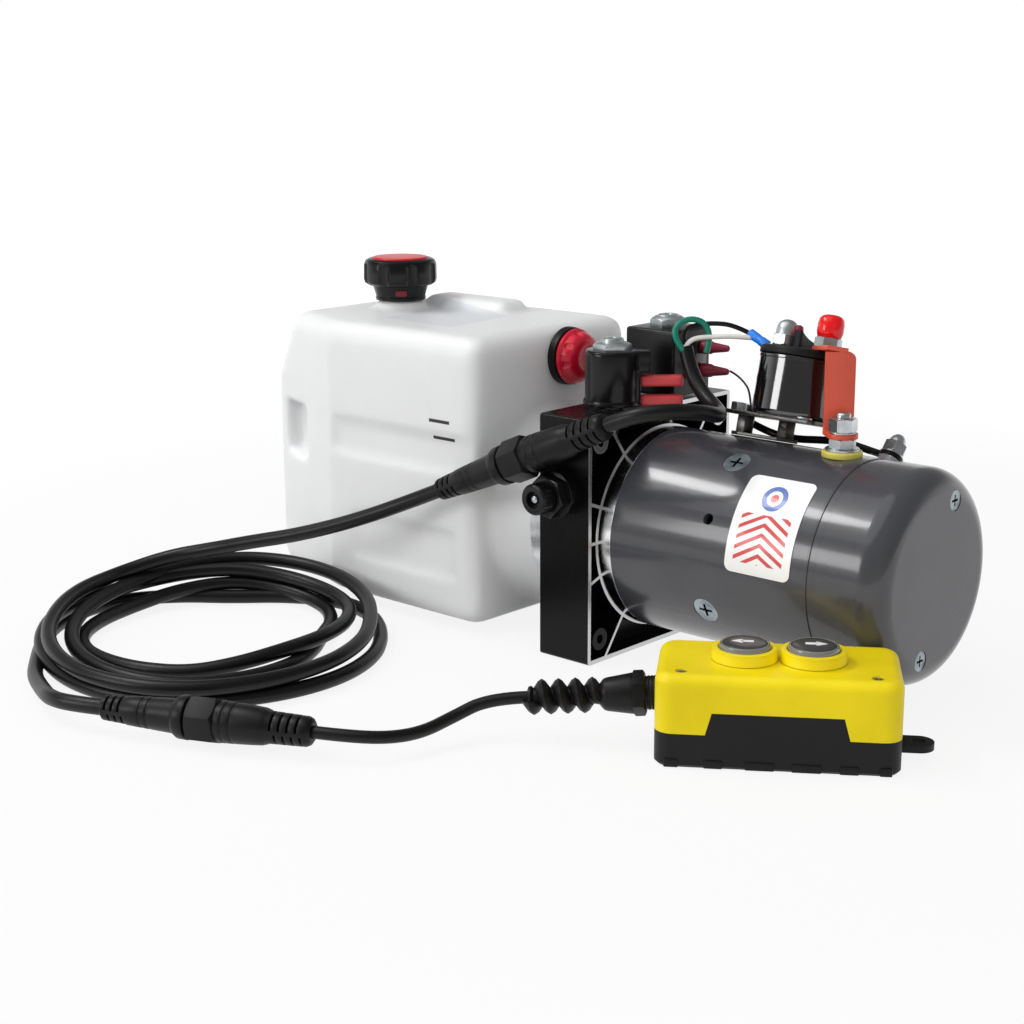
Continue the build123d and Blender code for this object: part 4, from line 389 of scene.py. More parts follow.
def wound_finish():
    """Copper windings, laminated iron and the commutator's bars, by place along the shaft."""
    made = Finish("armature_metals", (0.5, 0.5, 0.5), 0.4, Metallic=1.0)
    x = made.xyz()[0]
    core = x.band(49.7, 124.7, 0.1)
    winding = x.band(40.7, 133.7, 0.1) * (1.0 - core)
    commutator = x.band(135.7, 152.7, 0.1)
    shaft_or_core = made.mix(core, STEEL_GREY, (0.16, 0.15, 0.15))
    with_bars = made.mix(commutator, shaft_or_core, (0.72, 0.36, 0.2))
    made.set("Base Color", made.mix(winding, with_bars, (0.42, 0.13, 0.05)))
    made.bump((x * 6.3).sine() * core, 0.05, 0.6, rounded=0.3)
    return made.material


def mesh_finish():
    """The strainer's woven wire."""
    made = Finish("woven_mesh", (0.55, 0.55, 0.54), 0.4, Metallic=1.0)
    x, y, z = made.xyz()
    weave = ((x + y) * 4.0).sine() * (z * 4.0).sine()
    made.set("Base Color", made.mix(weave.ramp(-0.4, 0.4), (0.1, 0.1, 0.1), (0.6, 0.6, 0.58)))
    made.bump(weave, 0.15, 0.8)
    return made.material


def label_finish():
    """A plain printed film: a white field with a blue ring round a red dot, over red chevrons."""
    start, top, middle = 103.7, math.radians(34.0) * MOTOR_RADIUS, 20.0
    made = Finish("printed_film", PAPER, 0.3, Coat_Weight=0.3)
    x, y, z = made.xyz()
    along = x - start
    angle = made.node("ShaderNodeMath", {"operation": "ARCTAN2"}, -y, z - AXIS_HEIGHT)
    down = angle * MOTOR_RADIUS - top
    stripes = ((down - abs(along - middle) * 0.55) / 5.4).fraction().below(0.42)
    field = along.band(5.0, 35.0, 0.15) * down.band(23.0, 49.0, 0.15)
    disc = away(along - middle, down - 13.0)
    chevrons = made.mix(stripes * field, PAPER, PRINT_RED)
    ringed = made.mix(disc.band(4.6, 7.4, 0.12), chevrons, (0.05, 0.12, 0.42))
    made.set("Base Color", made.mix(disc.below(2.4), ringed, PRINT_RED))
    made.set("Roughness", 0.28 + 0.1 * made.noise(80.0))
    return made.material


def finishes(colours):
    """Every finish of the unit by name, made once."""
    across, along, upright = (1.0, 4.0, 1.0), (6.0, 1.0, 1.0), (1.0, 1.0, 4.0)
    return {
        "tank": tank_finish(colours),
        "block": block_finish(colours),
        "paint": paint_finish(colours),
        "zinc": metal_finish("bright_zinc", (0.72, 0.73, 0.75), 0.24, upright),
        "screw_zinc": screw_finish(),
        "dull_zinc": metal_finish("dull_zinc", (0.42, 0.42, 0.42), 0.34, spots=0.15),
        "steel": metal_finish("ground_steel", (0.55, 0.55, 0.56), 0.3, along),
        "gear": metal_finish("gear_steel", (0.4, 0.4, 0.42), 0.3),
        "cast": metal_finish("cast_aluminium", (0.5, 0.5, 0.5), 0.45, depth=0.12),
        "turned": turned_finish("turned_aluminium", (0.90, 0.90, 0.91), 0.1),
        "bronze": metal_finish("sintered_bronze", (0.5, 0.34, 0.16), 0.42),
        "wound": wound_finish(),
        "mesh": mesh_finish(),
        "label": label_finish(),
        "black": plastic_finish("black_moulding", (0.004, 0.004, 0.0045), 0.22, Specular_IOR_Level=0.3),
        "gloss_black": plastic_finish("black_enamel", (0.003, 0.003, 0.0035), 0.1, depth=0.01, Specular_IOR_Level=1.0,
                                      Coat_Weight=0.6, Coat_IOR=1.6, Coat_Roughness=0.03),
        "matte_black": plastic_finish("matte_black_moulding", (0.007, 0.007, 0.007), 0.45, depth=0.06,
                                      Specular_IOR_Level=0.25),
        "soft_black": plastic_finish("black_rubber", colours.rubber, 0.4, depth=0.04, Specular_IOR_Level=0.25),
        "cord": plastic_finish("cord_jacket", colours.rubber, 0.36, grain=700.0, depth=0.05, rounded=None,
                               Specular_IOR_Level=0.3),
        "seal": plastic_finish("seal_rubber", (0.006, 0.006, 0.006), 0.5, Specular_IOR_Level=0.25),
        "carbon": plastic_finish("moulded_carbon", (0.03, 0.028, 0.026), 0.6),
        "yellow": plastic_finish("yellow_moulding", colours.yellow, 0.4, grain=380.0, depth=0.05,
                                 Specular_IOR_Level=0.35, Subsurface_Weight=0.1, Subsurface_Scale=0.002),
        "busbar": plastic_finish("busbar_coating", colours.busbar, 0.32, depth=0.03),
        "pale_zinc": metal_finish("pale_zinc", (0.62, 0.66, 0.67), 0.36, upright),
        "bright_zinc": metal_finish("bright_zinc_nuts", (0.62, 0.64, 0.66), 0.24, upright),
        "plate": metal_finish("plated_steel", (0.13, 0.127, 0.12), 0.28, across),
        "coil_black": plastic_finish("coil_moulding", (0.005, 0.005, 0.0055), 0.3, Specular_IOR_Level=0.3),
        "clear_rim": plastic_finish("clear_rim", (0.20, 0.20, 0.19), 0.12, Coat_Weight=0.6),
        "button": plastic_finish("button_face", (0.045, 0.043, 0.040), 0.3),
        "red": plastic_finish("red_moulding", colours.red, 0.3, depth=0.02),
        "crimson": plastic_finish("crimson_moulding", (0.60, 0.004, 0.028), 0.26, depth=0.02),
        "dark_red": plastic_finish("dark_red_print", (0.16, 0.003, 0.012), 0.4),
        "boot": plastic_finish("red_boot", (0.80, 0.004, 0.006), 0.2, Subsurface_Weight=0.1, Subsurface_Scale=0.002),
        "spade": plastic_finish("spade_vinyl", (0.24, 0.014, 0.035), 0.4, rounded=None),
        "front_spade": plastic_finish("front_spade_vinyl", (0.70, 0.065, 0.075), 0.38, rounded=None),
        "insulator": plastic_finish("yellow_insulator", (0.64, 0.57, 0.10), 0.4),
        "grey": plastic_finish("grey_moulding", (0.19, 0.19, 0.18), 0.35),
        "white": plastic_finish("white_print", PAPER, 0.4, depth=0.01),
        "white_core": plastic_finish("white_core", (0.8, 0.78, 0.74), 0.35, rounded=None),
        "green_core": plastic_finish("green_core", (0.0, 0.21, 0.135), 0.35, rounded=None),
        "blue": plastic_finish("blue_sleeve", (0.005, 0.20, 0.80), 0.28, rounded=None),
    }


# The finish of each of the frame's solids.
NODE_FINISHES = {
    "manifold": "block", "relief_valve": "black", "relief_poppet": "steel",
    "valve_stems": "dull_zinc", "valve_plunger_front": "steel", "valve_plunger_rear": "steel", "coil_front": "black",
    "coil_rear": "black", "coil_nuts": "zinc", "spade_boots": "spade", "drive_gear": "gear", "idler_gear": "gear",
    "pump_body": "cast", "pump_cover": "cast", "pump_bolts": "steel", "oil_tubes": "steel",
    "suction_strainer": "mesh", "tank_shell": "tank", "tank_seals": "seal", "tank_clamp": "zinc",
    "filler_cap": "black", "cap_disc": "red", "fill_plug": "crimson", "motor_ring": "turned", "motor_housing": "paint",
    "motor_end_cap": "paint", "armature": "wound", "motor_bearings": "bronze", "field_magnets": "gear",
    "brush_gear": "carbon", "motor_screws": "screw_zinc", "motor_label": "label", "terminal_insulator": "insulator",
    "terminal_stud": "zinc", "ground_stud": "zinc", "contactor_bracket": "dull_zinc", "bracket_bolts": "zinc",
    "contactor_can": "black", "contactor_plunger": "steel", "contactor_cap": "matte_black", "contactor_studs": "zinc",
    "stud_boot": "boot", "busbar": "busbar", "harness_cable": "cord", "harness_wires": "cord",
    "connector_upper": "soft_black", "connector_nut_upper": "matte_black", "connector_lower": "soft_black",
    "connector_nut_lower": "matte_black", "cord_upper": "cord", "cord_coil": "cord", "cord_lower": "cord",
    "pendant_base": "matte_black", "pendant_cover": "yellow", "pendant_screws": "zinc", "pendant_switch": "black",
    "strain_relief": "soft_black", "button_left": "grey", "button_right": "grey",
}
MADE = {}


# ---------------------------------------------------------------- modelling helpers, in millimetres
def only(obj):
    """obj alone is selected and active, in object mode."""
    if bpy.context.object and bpy.context.object.mode != "OBJECT":
        bpy.ops.object.mode_set(mode="OBJECT")
    bpy.ops.object.select_all(action="DESELECT")
    if obj:
        obj.select_set(True)
        bpy.context.view_layer.objects.active = obj
    return obj


def applied(obj):
    """obj's place, turn and size go into its mesh."""
    only(obj)
    bpy.ops.object.transform_apply()
    return obj


def moved(obj, x, y=0.0, z=0.0):
    obj.location = (x, y, z)
    return applied(obj)


def carried(obj, move):
    """obj is moved by a matrix."""
    obj.matrix_world = move @ obj.matrix_world
    return applied(obj)


def seated(obj, origin, axis, spin=0.0):
    """obj's own Z is laid along axis at origin."""
    heading = Vector(axis).normalized()
    turn = heading.to_track_quat("Z", "Y").to_matrix().to_4x4() @ Matrix.Rotation(spin, 4, "Z")
    obj.matrix_world = Matrix.Translation(Vector(origin)) @ turn
    return applied(obj)


def modify(obj, kind, **settings):
    """One modifier, applied."""
    only(obj)
    bpy.ops.object.modifier_add(type=kind)
    modifier = obj.modifiers[-1]
    for key, value in settings.items():
        setattr(modifier, key, value)
    bpy.ops.object.modifier_apply(modifier=modifier.name)
    return obj


def softened(obj, width, segments=2, angle=28.0):
    """Edges sharper than that angle in degrees are rounded."""
    return modify(obj, "BEVEL", width=width, segments=segments, limit_method="ANGLE", angle_limit=math.radians(angle))


def mend(obj):
    """Doubles merged and every face turned outwards."""
    only(obj)
    bpy.ops.object.mode_set(mode="EDIT")
    bpy.ops.mesh.select_all(action="SELECT")
    bpy.ops.mesh.remove_doubles(threshold=0.0005)
    bpy.ops.mesh.normals_make_consistent(inside=False)
    bpy.ops.object.mode_set(mode="OBJECT")
    return obj


def turned(name, steps, sides=64, turn=0.0):
    """A body of revolution about its own Z: a disc drawn up and scaled through each (height, radius)."""
    only(None)
    height, radius = steps[0]
    bpy.ops.mesh.primitive_circle_add(
        vertices=sides, radius=radius, fill_type="NGON", location=(0, 0, height), rotation=(0, 0, turn))
    obj = bpy.context.object
    obj.name = name
    bpy.ops.object.transform_apply()
    bpy.ops.object.mode_set(mode="EDIT")
    bpy.ops.mesh.select_all(action="SELECT")
    for next_height, next_radius in steps[1:]:
        rise = (0.0, 0.0, next_height - height)
        bpy.ops.mesh.extrude_region_move(TRANSFORM_OT_translate={"value": rise})
        share = next_radius / radius
        if abs(share - 1.0) > 1e-6:
            bpy.ops.transform.resize(value=(share, share, 1.0), center_override=(0.0, 0.0, next_height))
        height, radius = next_height, next_radius
    bpy.ops.mesh.select_all(action="SELECT")
    bpy.ops.mesh.normals_make_consistent(inside=False)
    bpy.ops.object.mode_set(mode="OBJECT")
    return obj


def hoop(name, steps, sides):
    """A turned ring: its two flat ends are taken away and their rims are joined by a wall."""
    obj = turned(name, steps, sides)
    only(obj)
    bpy.ops.object.mode_set(mode="EDIT")
    bpy.ops.mesh.select_all(action="DESELECT")
    bpy.ops.object.mode_set(mode="OBJECT")
    for face in sorted(obj.data.polygons, key=lambda face: -len(face.vertices))[:2]:
        face.select = True
    bpy.ops.object.mode_set(mode="EDIT")
    bpy.ops.mesh.delete(type="ONLY_FACE")
    bpy.ops.mesh.select_all(action="DESELECT")
    bpy.ops.mesh.select_non_manifold()
    bpy.ops.mesh.bridge_edge_loops()
    bpy.ops.object.mode_set(mode="OBJECT")
    return mend(obj)


def slab(name, low, high, bevel=0.0, segments=2):
    """A block between two corners, its edges rounded."""
    only(None)
    middle = [(a + b) / 2 for a, b in zip(low, high)]
    bpy.ops.mesh.primitive_cube_add(size=1.0, location=middle)
    obj = bpy.context.object
    obj.name = name
    obj.scale = [b - a for a, b in zip(low, high)]
    bpy.ops.object.transform_apply()
    return softened(obj, bevel, segments, 30.0) if bevel else obj


def cut(obj, tool, operation="DIFFERENCE"):
    """A boolean with a tool that is then thrown away."""
    modify(obj, "BOOLEAN", object=tool, operation=operation, solver="EXACT")
    bpy.data.objects.remove(tool)
    return obj


def fluted(obj, steps, sides, count, reach, start=0.0):
    """Like grooves round a grip, each a turned tool at that reach from its axis."""
    for index in range(count):
        angle = start + index * math.tau / count
        groove = turned("groove", steps, sides)
        groove.location = (reach * math.cos(angle), reach * math.sin(angle), 0.0)
        cut(obj, groove)


def joined(name, pieces):
    only(pieces[0])
    for piece in pieces:
        piece.select_set(True)
    bpy.ops.object.join()
    obj = bpy.context.object
    obj.name = name
    return obj


def hexagon(name, flats, low, high, turn=0.0):
    """A six-sided bar."""
    corner = flats / math.sqrt(3.0)
    return turned(name, [(low, corner), (high, corner)], sides=6, turn=turn)


def nut(name, flats, low, high, turn=0.0):
    """A hexagon nut with its corners turned off top and bottom."""
    corner = flats / math.sqrt(3.0)
    lift = (corner - flats / 2) * 0.6
    obj = hexagon(name, flats, low, high, turn)
    tool = turned("tool", [(low - 0.01, flats / 2 * 0.99), (low + lift, corner * 1.01), (high - lift, corner * 1.01),
                           (high + 0.01, flats / 2 * 0.97)], sides=48)
    return cut(obj, tool, "INTERSECT")


def threads(name, radius, low, high, pitch=1.0, tip=0.8):
    """A threaded stud with a chamfered tip."""
    steps = [(low, radius)]
    height = low + pitch
    while height < high - tip:
        steps += [(height - pitch * 0.45, radius), (height, radius * 0.91)]
        height += pitch
    steps += [(high - tip, radius), (high, radius * 0.72)]
    return turned(name, steps, sides=40)


def done(obj, name, body, finish, nodes=(), smooth=35.0):
    """The piece in metres, shaded, finished, riding on its body and standing for its nodes."""
    applied(obj)
    obj.name = name
    obj.scale = (MM, MM, MM)
    bpy.ops.object.transform_apply()
    if smooth:
        bpy.ops.object.shade_smooth_by_angle(angle=math.radians(smooth))
    obj.data.materials.clear()
    obj.data.materials.append(MADE[finish])
    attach(obj, body)
    if nodes:
        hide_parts(*nodes)
    return obj


def copied(node, name):
    """A merged copy of a CAD node, in millimetres."""
    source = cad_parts[node]
    obj = source.copy()
    obj.data = source.data.copy()
    for key in list(obj.keys()):
        if key.startswith("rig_"):
            del obj[key]
    bpy.context.scene.collection.objects.link(obj)
    obj.parent = None
    obj.name = name
    obj.scale = (1000.0, 1000.0, 1000.0)
    applied(obj)
    if obj.data.has_custom_normals:
        bpy.ops.mesh.customdata_custom_splitnormals_clear()
    return mend(obj)


# ---------------------------------------------------------------- stage
FLOOR_GREY = (0.5, 0.5, 0.5)
# The floor's glow: its strength, and how far from the unit it starts to spread to the whole floor and ends, in metres.
GLOW_STRENGTH, GLOW_START, GLOW_END = 1.08, 0.35, 1.3
BACKDROP_SIDE = (-0.66, 0.72, 0.0)
UNIT_MIDDLE = (0.0, 0.0, 0.1)
RIGHT_OF_MIDDLE = (0.1, 0.0, 0.1)


def lamp(name, place, aim, size, power, in_reflections=True):
    bpy.ops.object.light_add(type="AREA", location=place)
    obj = bpy.context.object
    obj.name = name
    obj.data.shape = "RECTANGLE"
    obj.data.size, obj.data.size_y = size
    obj.data.energy = power
    heading = Vector(aim) - Vector(place)
    obj.rotation_euler = heading.to_track_quat("-Z", "Y").to_euler()
    obj.visible_glossy = in_reflections


def floor_material(glow):
    """White to the eye and in reflections, but it still takes the unit's shadow."""
    made = Finish("pale_floor", FLOOR_GREY, 0.7, Specular_IOR_Level=0.0)
    distance = made.node("ShaderNodeVectorMath", {"operation": "LENGTH"}, made.place(), out="Value")
    share = distance.ramp(GLOW_START, GLOW_END, glow, 1.0) * made.seen("Camera", "Glossy", "Transmission")
    light = made.node("ShaderNodeEmission", {}, WHITE, GLOW_STRENGTH)
    made.put(made.output, made.node("ShaderNodeMixShader", {}, share, made.paint, light))
    return made.material


def studio_world(surround, ceiling):
    """An even light; the eye sees white all round, and reflections see a white backdrop and a dimmer room."""
    world = bpy.data.worlds.new("studio")
    world.use_nodes = True
    made = NodeTree(world.node_tree)
    output = made.tree.nodes.new("ShaderNodeOutputWorld").inputs[0]
    place = made.place("Generated")
    height = made.node("ShaderNodeSeparateXYZ", {}, place, out="Z")
    behind = made.node("ShaderNodeVectorMath", {"operation": "DOT_PRODUCT"}, place, BACKDROP_SIDE, out="Value")
    backdrop = height.ramp(0.1, 0.4, 1.0 - ceiling, 0.0) * behind.ramp(-0.25, 0.35)
    even = made.node("ShaderNodeBackground", {}, WHITE, surround)
    mirrored = made.node("ShaderNodeBackground", {}, WHITE, backdrop + ceiling)
    white = made.node("ShaderNodeBackground", {}, WHITE, 1.0)
    unseen = made.node("ShaderNodeMixShader", {}, made.seen("Glossy", "Transmission"), even, mirrored)
    made.put(output, made.node("ShaderNodeMixShader", {}, made.seen("Camera"), unseen, white))
    return world


class UNIT_OT_stage(bpy.types.Operator):
    """Floor, backdrop, lamps, surround and camera"""

    bl_idname = "unit.stage"
    bl_label = "Stage"

    def execute(self, context):
        scene = context.scene
        view, light = scene.unit_camera, scene.unit_light
        scene.view_settings.view_transform = "Standard"
        camera = bpy.data.objects.new("camera", bpy.data.cameras.new("camera"))
        scene.collection.objects.link(camera)
        camera.data.lens = view.lens
        camera.data.sensor_width = 36.0
        camera.data.sensor_fit = "HORIZONTAL"
        camera.data.clip_end = 50.0
        height_angle, roll, heading = view.turn
        turn = Matrix.Rotation(heading, 4, "Z") @ Matrix.Rotation(height_angle, 4, "X") @ Matrix.Rotation(roll, 4, "Z")
        camera.matrix_world = Matrix.Translation(view.place) @ turn
        scene.camera = camera
        only(None)
        bpy.ops.mesh.primitive_plane_add(size=12.0, location=(0.0, 0.0, -0.0002))
        floor = bpy.context.object
        floor.name = "floor"
        floor.data.materials.append(floor_material(light.glow))
        bpy.ops.object.light_add(type="SUN", location=(-0.6, -0.9, 2.0))
        sun = bpy.context.object
        sun.name = "overhead"
        sun.data.energy = light.overhead
        sun.data.angle = math.radians(60.0)
        sun.rotation_euler = Vector((0.28, 0.42, -1.0)).to_track_quat("-Z", "Y").to_euler()
        lamp("front_strip", (-0.7, -1.53, 0.57), UNIT_MIDDLE, (0.62, 0.4), light.front * 0.57)
        lamp("front_fill", (-0.7, -1.53, 0.6), UNIT_MIDDLE, (0.7, 1.0), light.front * 0.43, in_reflections=False)
        lamp("upper_left", (-0.9, -0.6, 1.45), RIGHT_OF_MIDDLE, (0.7, 0.2), light.upper_left)
        lamp("right", (1.6, -0.9, 0.7), RIGHT_OF_MIDDLE, (1.2, 1.2), light.right, in_reflections=False)
        scene.world = studio_world(light.surround, light.ceiling)
        return {"FINISHED"}


class UNIT_OT_finishes(bpy.types.Operator):
    """Every finish, and the solids of the frame that keep their own shape"""

    bl_idname = "unit.finishes"
    bl_label = "Finishes"

    def execute(self, context):
        MADE.update(finishes(context.scene.unit_colours))
        for node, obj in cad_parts.items():
            obj.data.materials.clear()
            obj.data.materials.append(MADE[NODE_FINISHES[node]])
        return {"FINISHED"}


# ---------------------------------------------------------------- tank
def sliced(obj, place, normal):
    """Everything beyond a plane is cut off and the cut is closed."""
    only(obj)
    bpy.ops.object.mode_set(mode="EDIT")
    bpy.ops.mesh.select_all(action="SELECT")
    bpy.ops.mesh.bisect(plane_co=place, plane_no=normal, use_fill=True, clear_outer=True)
    bpy.ops.object.mode_set(mode="OBJECT")


class UNIT_OT_tank(bpy.types.Operator):
    """The blow-moulded tank, its soft ledges, its neck and its filler"""

    bl_idname = "unit.tank"
    bl_label = "Tank"

    def execute(self, context):
        body = slab("tank", (TANK_FAR, -TANK_SIDE, 5.4), (TANK_NEAR, TANK_SIDE, TANK_TOP))
        for side in (-1.0, 1.0):
            sliced(body, (-186.3, side * TANK_SIDE, 0.0), (-0.32, side * 0.948, 0.0))
        sliced(body, (-238.3, 0.0, TANK_TOP), (-0.832, 0.0, 0.555))
        softened(body, 11.0, 5, 25.0)
        for side in (-1.0, 1.0):
            self.hollows(body, side)
        cut(body, slab("dome", (-191.0, 18.0, 165.0), (-122.0, 44.0, 183.0), 5.0), "UNION")
        neck = turned("neck", [(0.0, 52.0), (9.0, 60.5), (12.7, 60.5), (19.0, 57.0), (27.0, 54.2), (35.0, 53.4),
                               (57.0, 53.4)], 96)
        cut(body, seated(neck, (-75.0, 0.0, AXIS_HEIGHT), (1, 0, 0)), "UNION")
        filler = turned("filler", [(160.0, 20.0), (174.6, 19.5), (177.0, 16.4), (179.5, 15.2), (181.6, 14.9)], 64)
        filler.location = (FILLER_X, 0.0, 0.0)
        cut(body, filler, "UNION")
        modify(body, "REMESH", mode="VOXEL", voxel_size=2.3)
        modify(body, "SMOOTH", factor=0.5, iterations=10)
        modify(body, "SOLIDIFY", thickness=3.0, offset=-1.0)
        bore = turned("bore", [(150.0, 11.0), (190.0, 11.0)], 48)
        bore.location = (FILLER_X, 0.0, 0.0)
        cut(body, bore)
        port = seated(turned("port", [(0.0, 9.3), (20.0, 9.3)], 48), (-72.0, *PLUG_PLACE[1:]), (1, 0, 0))
        cut(body, port)
        mouth = seated(turned("mouth", [(0.0, 49.9), (40.0, 49.9)], 96), (-58.0, 0.0, AXIS_HEIGHT), (1, 0, 0))
        cut(body, mouth)
        done(body, "tank_moulding", "unit", "tank", ["tank_shell"], smooth=60.0)
        return {"FINISHED"}

    def hollows(self, body, side):
        """On one side: the waist with the level marks, the hollow below it, and the pocket in the far corner."""
        for start, end, depth, low, high in ((-183.0, -40.0, 67.0, 95.0, 118.0), (-168.0, -79.0, 67.2, 31.0, 61.0)):
            near, far = sorted((side * depth, side * 75.0))
            cut(body, slab("hollow", (start, near, low), (end, far, high), 1.6))
        pocket = slab("pocket", (-13.0, -1.5, 84.0), (19.0, 10.0, 116.0), 1.2)
        pocket.scale = (1.0, -side, 1.0)
        pocket.rotation_euler = (0.0, 0.0, side * math.radians(18.65))
        pocket.location = (-239.0, side * 51.2, 0.0)
        mend(pocket)
        cut(body, mend(applied(pocket)))


class UNIT_OT_filler_cap(bpy.types.Operator):
    """Breather cap with a lobed grip and a red disc let into its top"""

    bl_idname = "unit.filler_cap"
    bl_label = "Filler cap"

    def execute(self, context):
        grip = turned("grip", [(190.6, 17.2), (190.9, 20.4), (192.4, 22.4), (194.6, 23.0), (203.6, 22.8), (206.0, 21.8),
                               (207.2, 19.6), (207.2, 17.9), (206.2, 17.5), (206.2, 6.0)], 120)
        fluted(grip, [(188.0, 5.2), (203.5, 5.2), (205.4, 3.6)], 32, count=8, reach=26.2, start=0.32)
        softened(grip, 0.9, 3, 32.0)
        cap = joined("cap", [
            grip,
            turned("collar", [(181.3, 14.2), (181.9, 15.0), (186.5, 16.3), (190.9, 17.6), (191.5, 16.8)], 96),
            turned("lip", [(181.2, 15.0), (181.4, 15.6), (183.2, 15.9), (183.6, 15.2)], 96),
            turned("plug", [(165.0, 9.4), (165.6, 10.4), (181.0, 10.6), (181.8, 10.6)], 64),
            turned("rod", [(63.4, 1.4), (64.0, 2.1), (110.0, 2.1), (110.4, 1.8), (111.6, 1.8), (112.0, 2.1),
                           (166.0, 2.1)], 24)])
        disc = turned("disc", [(205.9, 16.6), (206.4, 17.3), (207.5, 17.3), (208.1, 16.6), (208.3, 13.0),
                               (208.35, 5.0)], 96)
        tab = slab("tab", (-3.6, -17.6, 184.6), (3.6, -15.2, 188.6), 0.9)
        tab.rotation_euler = (0.0, 0.0, math.radians(47.0))
        for piece, name, finish, nodes in ((cap, "filler_cap_moulding", "black", ["filler_cap"]),
                                           (disc, "filler_cap_disc", "red", ["cap_disc"]),
                                           (tab, "filler_cap_tab", "dark_red", [])):
            piece.location = (FILLER_X, 0.0, 0.0)
            done(piece, name, "filler_cap", finish, nodes)
        return {"FINISHED"}


class UNIT_OT_fill_plug(bpy.types.Operator):
    """The red fill plug on the near wall of the tank, with its gasket"""

    bl_idname = "unit.fill_plug"
    bl_label = "Fill plug"

    def execute(self, context):
        grip = turned("grip", [(5.0, 15.6), (6.0, 16.4), (7.4, 16.5), (8.2, 16.0), (8.8, 15.0), (11.0, 14.7),
                               (13.4, 13.8), (15.0, 12.2), (15.8, 10.2), (16.0, 7.6), (15.4, 6.8), (15.3, 3.0)], 120)
        fluted(grip, [(9.0, 1.6), (9.8, 2.6), (20.0, 4.4)], 28, count=8, reach=16.2, start=0.2)
        softened(grip, 0.7, 3, 35.0)
        stem = turned("stem", [(-12.0, 7.6), (-11.0, 8.8), (2.0, 8.8), (5.2, 8.8)], 48)
        plug = seated(joined("plug", [grip, stem]), PLUG_PLACE, (1, 0, 0))
        done(plug, "fill_plug_moulding", "fill_plug", "crimson", ["fill_plug"])
        gasket = turned("gasket", [(0.1, 16.4), (0.4, 17.1), (2.2, 17.2), (4.6, 16.9), (5.0, 16.2), (5.0, 9.2),
                                   (0.1, 9.2)], 96)
        done(mend(seated(gasket, PLUG_PLACE, (1, 0, 0))), "fill_plug_gasket", "fill_plug", "soft_black")
        return {"FINISHED"}


# ---------------------------------------------------------------- cords
UPPER_START = (-76.4, -84.0, 89.8)
UPPER_END = (39.6, -75.8, 141.2)
LOWER_START = (-98.4, -304.4, 13.0)
LOWER_END = (7.2, -257.6, 13.0)
RELIEF_END = (67.23, -169.26, 21.62)
UPPER_ROUTE = [
    UPPER_START, (-94.65, -85.29, 81.71), (-129.0, -98.0, 66.5), (-165.0, -113.0, 54.0), (-197.5, -124.0, 46.0),
    (-226.0, -131.0, 38.0), (-252.0, -145.0, 31.5),
]
TAIL_ROUTE = [
    (-196.0, -280.5, 4.5), (-181.0, -289.5, 5.5), (-171.0, -294.5, 6.5), (-153.0, -303.0, 8.5), (-134.5, -311.5, 11.5),
    (-116.68, -312.5, 13.0), LOWER_START,
]
PENDANT_ROUTE = [
    LOWER_END, (25.48, -249.5, 13.0), (37.1, -234.7, 11.2), (40.4, -216.2, 9.8), (41.7, -197.4, 12.4),
    (50.81, -180.54, 19.94), RELIEF_END,
]
HARNESS_ROUTE = [
    (30.6, 3.3, 172.2), (35.5, 1.5, 160.0), (47.0, -2.0, 148.5), (62.2, -7.7, 141.8), (74.2, -23.7, 143.0),
    (78.2, -42.7, 148.0), (73.1, -61.9, 150.8), (57.85, -74.51, 149.29), UPPER_END,
]
COIL_CENTRE = (-172.0, -178.0)
COIL_START = math.radians(177.0)
TURN_POINTS = 16
# The cord's radius from the coil's centre and its height, every sixteenth of a turn from the back left, anticlockwise.
COIL_STATIONS = [
    (93.0, 23.5), (89.3, 22.4), (87.0, 20.5), (91.0, 17.4), (98.0, 14.5), (108.3, 13.3), (116.0, 12.8),
    (113.0, 12.7), (106.0, 13.0), (98.0, 13.7), (92.0, 15.0), (93.9, 17.7), (98.0, 20.5), (101.4, 23.0),
    (102.0, 24.0), (94.8, 21.2), (86.0, 17.5), (80.6, 15.3), (77.5, 13.2), (77.9, 10.5), (80.0, 8.0), (83.3, 5.9),
    (85.0, 4.5), (80.5, 4.4), (74.0, 4.4), (66.5, 4.4), (63.0, 4.4), (72.6, 4.4), (84.0, 5.0), (87.4, 9.1),
    (87.0, 12.3), (82.9, 9.7), (78.0, 6.0), (75.9, 4.9), (74.0, 4.5), (69.9, 4.4), (66.0, 4.5), (64.2, 4.4),
    (64.0, 4.5), (65.2, 8.2), (68.0, 12.0), (72.6, 13.0), (78.0, 13.0), (83.6, 12.7), (88.0, 13.2), (88.3, 17.3),
    (88.0, 20.5), (90.5, 17.8), (93.0, 14.0), (93.3, 13.5), (93.5, 12.8), (95.0, 9.0), (98.0, 5.2), (104.8, 4.4),
    (111.0, 4.4), (112.1, 4.4), (110.0, 4.5), (104.0, 4.5), (98.0, 4.5), (97.9, 4.8), (97.0, 5.0), (86.8, 4.7),
    (79.0, 4.4), (87.0, 5.0), (97.0, 5.5), (97.1, 5.0), (95.0, 4.4),
]


def coil_route():
    """The four loose turns on the floor: control points that put the smooth curve itself at each station."""
    points = []
    for index, (radius, height) in enumerate(COIL_STATIONS):
        angle = COIL_START + math.tau * index / TURN_POINTS
        reach = radius / math.cos(math.pi / TURN_POINTS)
        points.append((COIL_CENTRE[0] + reach * math.cos(angle), COIL_CENTRE[1] + reach * math.sin(angle), height))
    return points


def metres(place):
    return [value * MM for value in place]


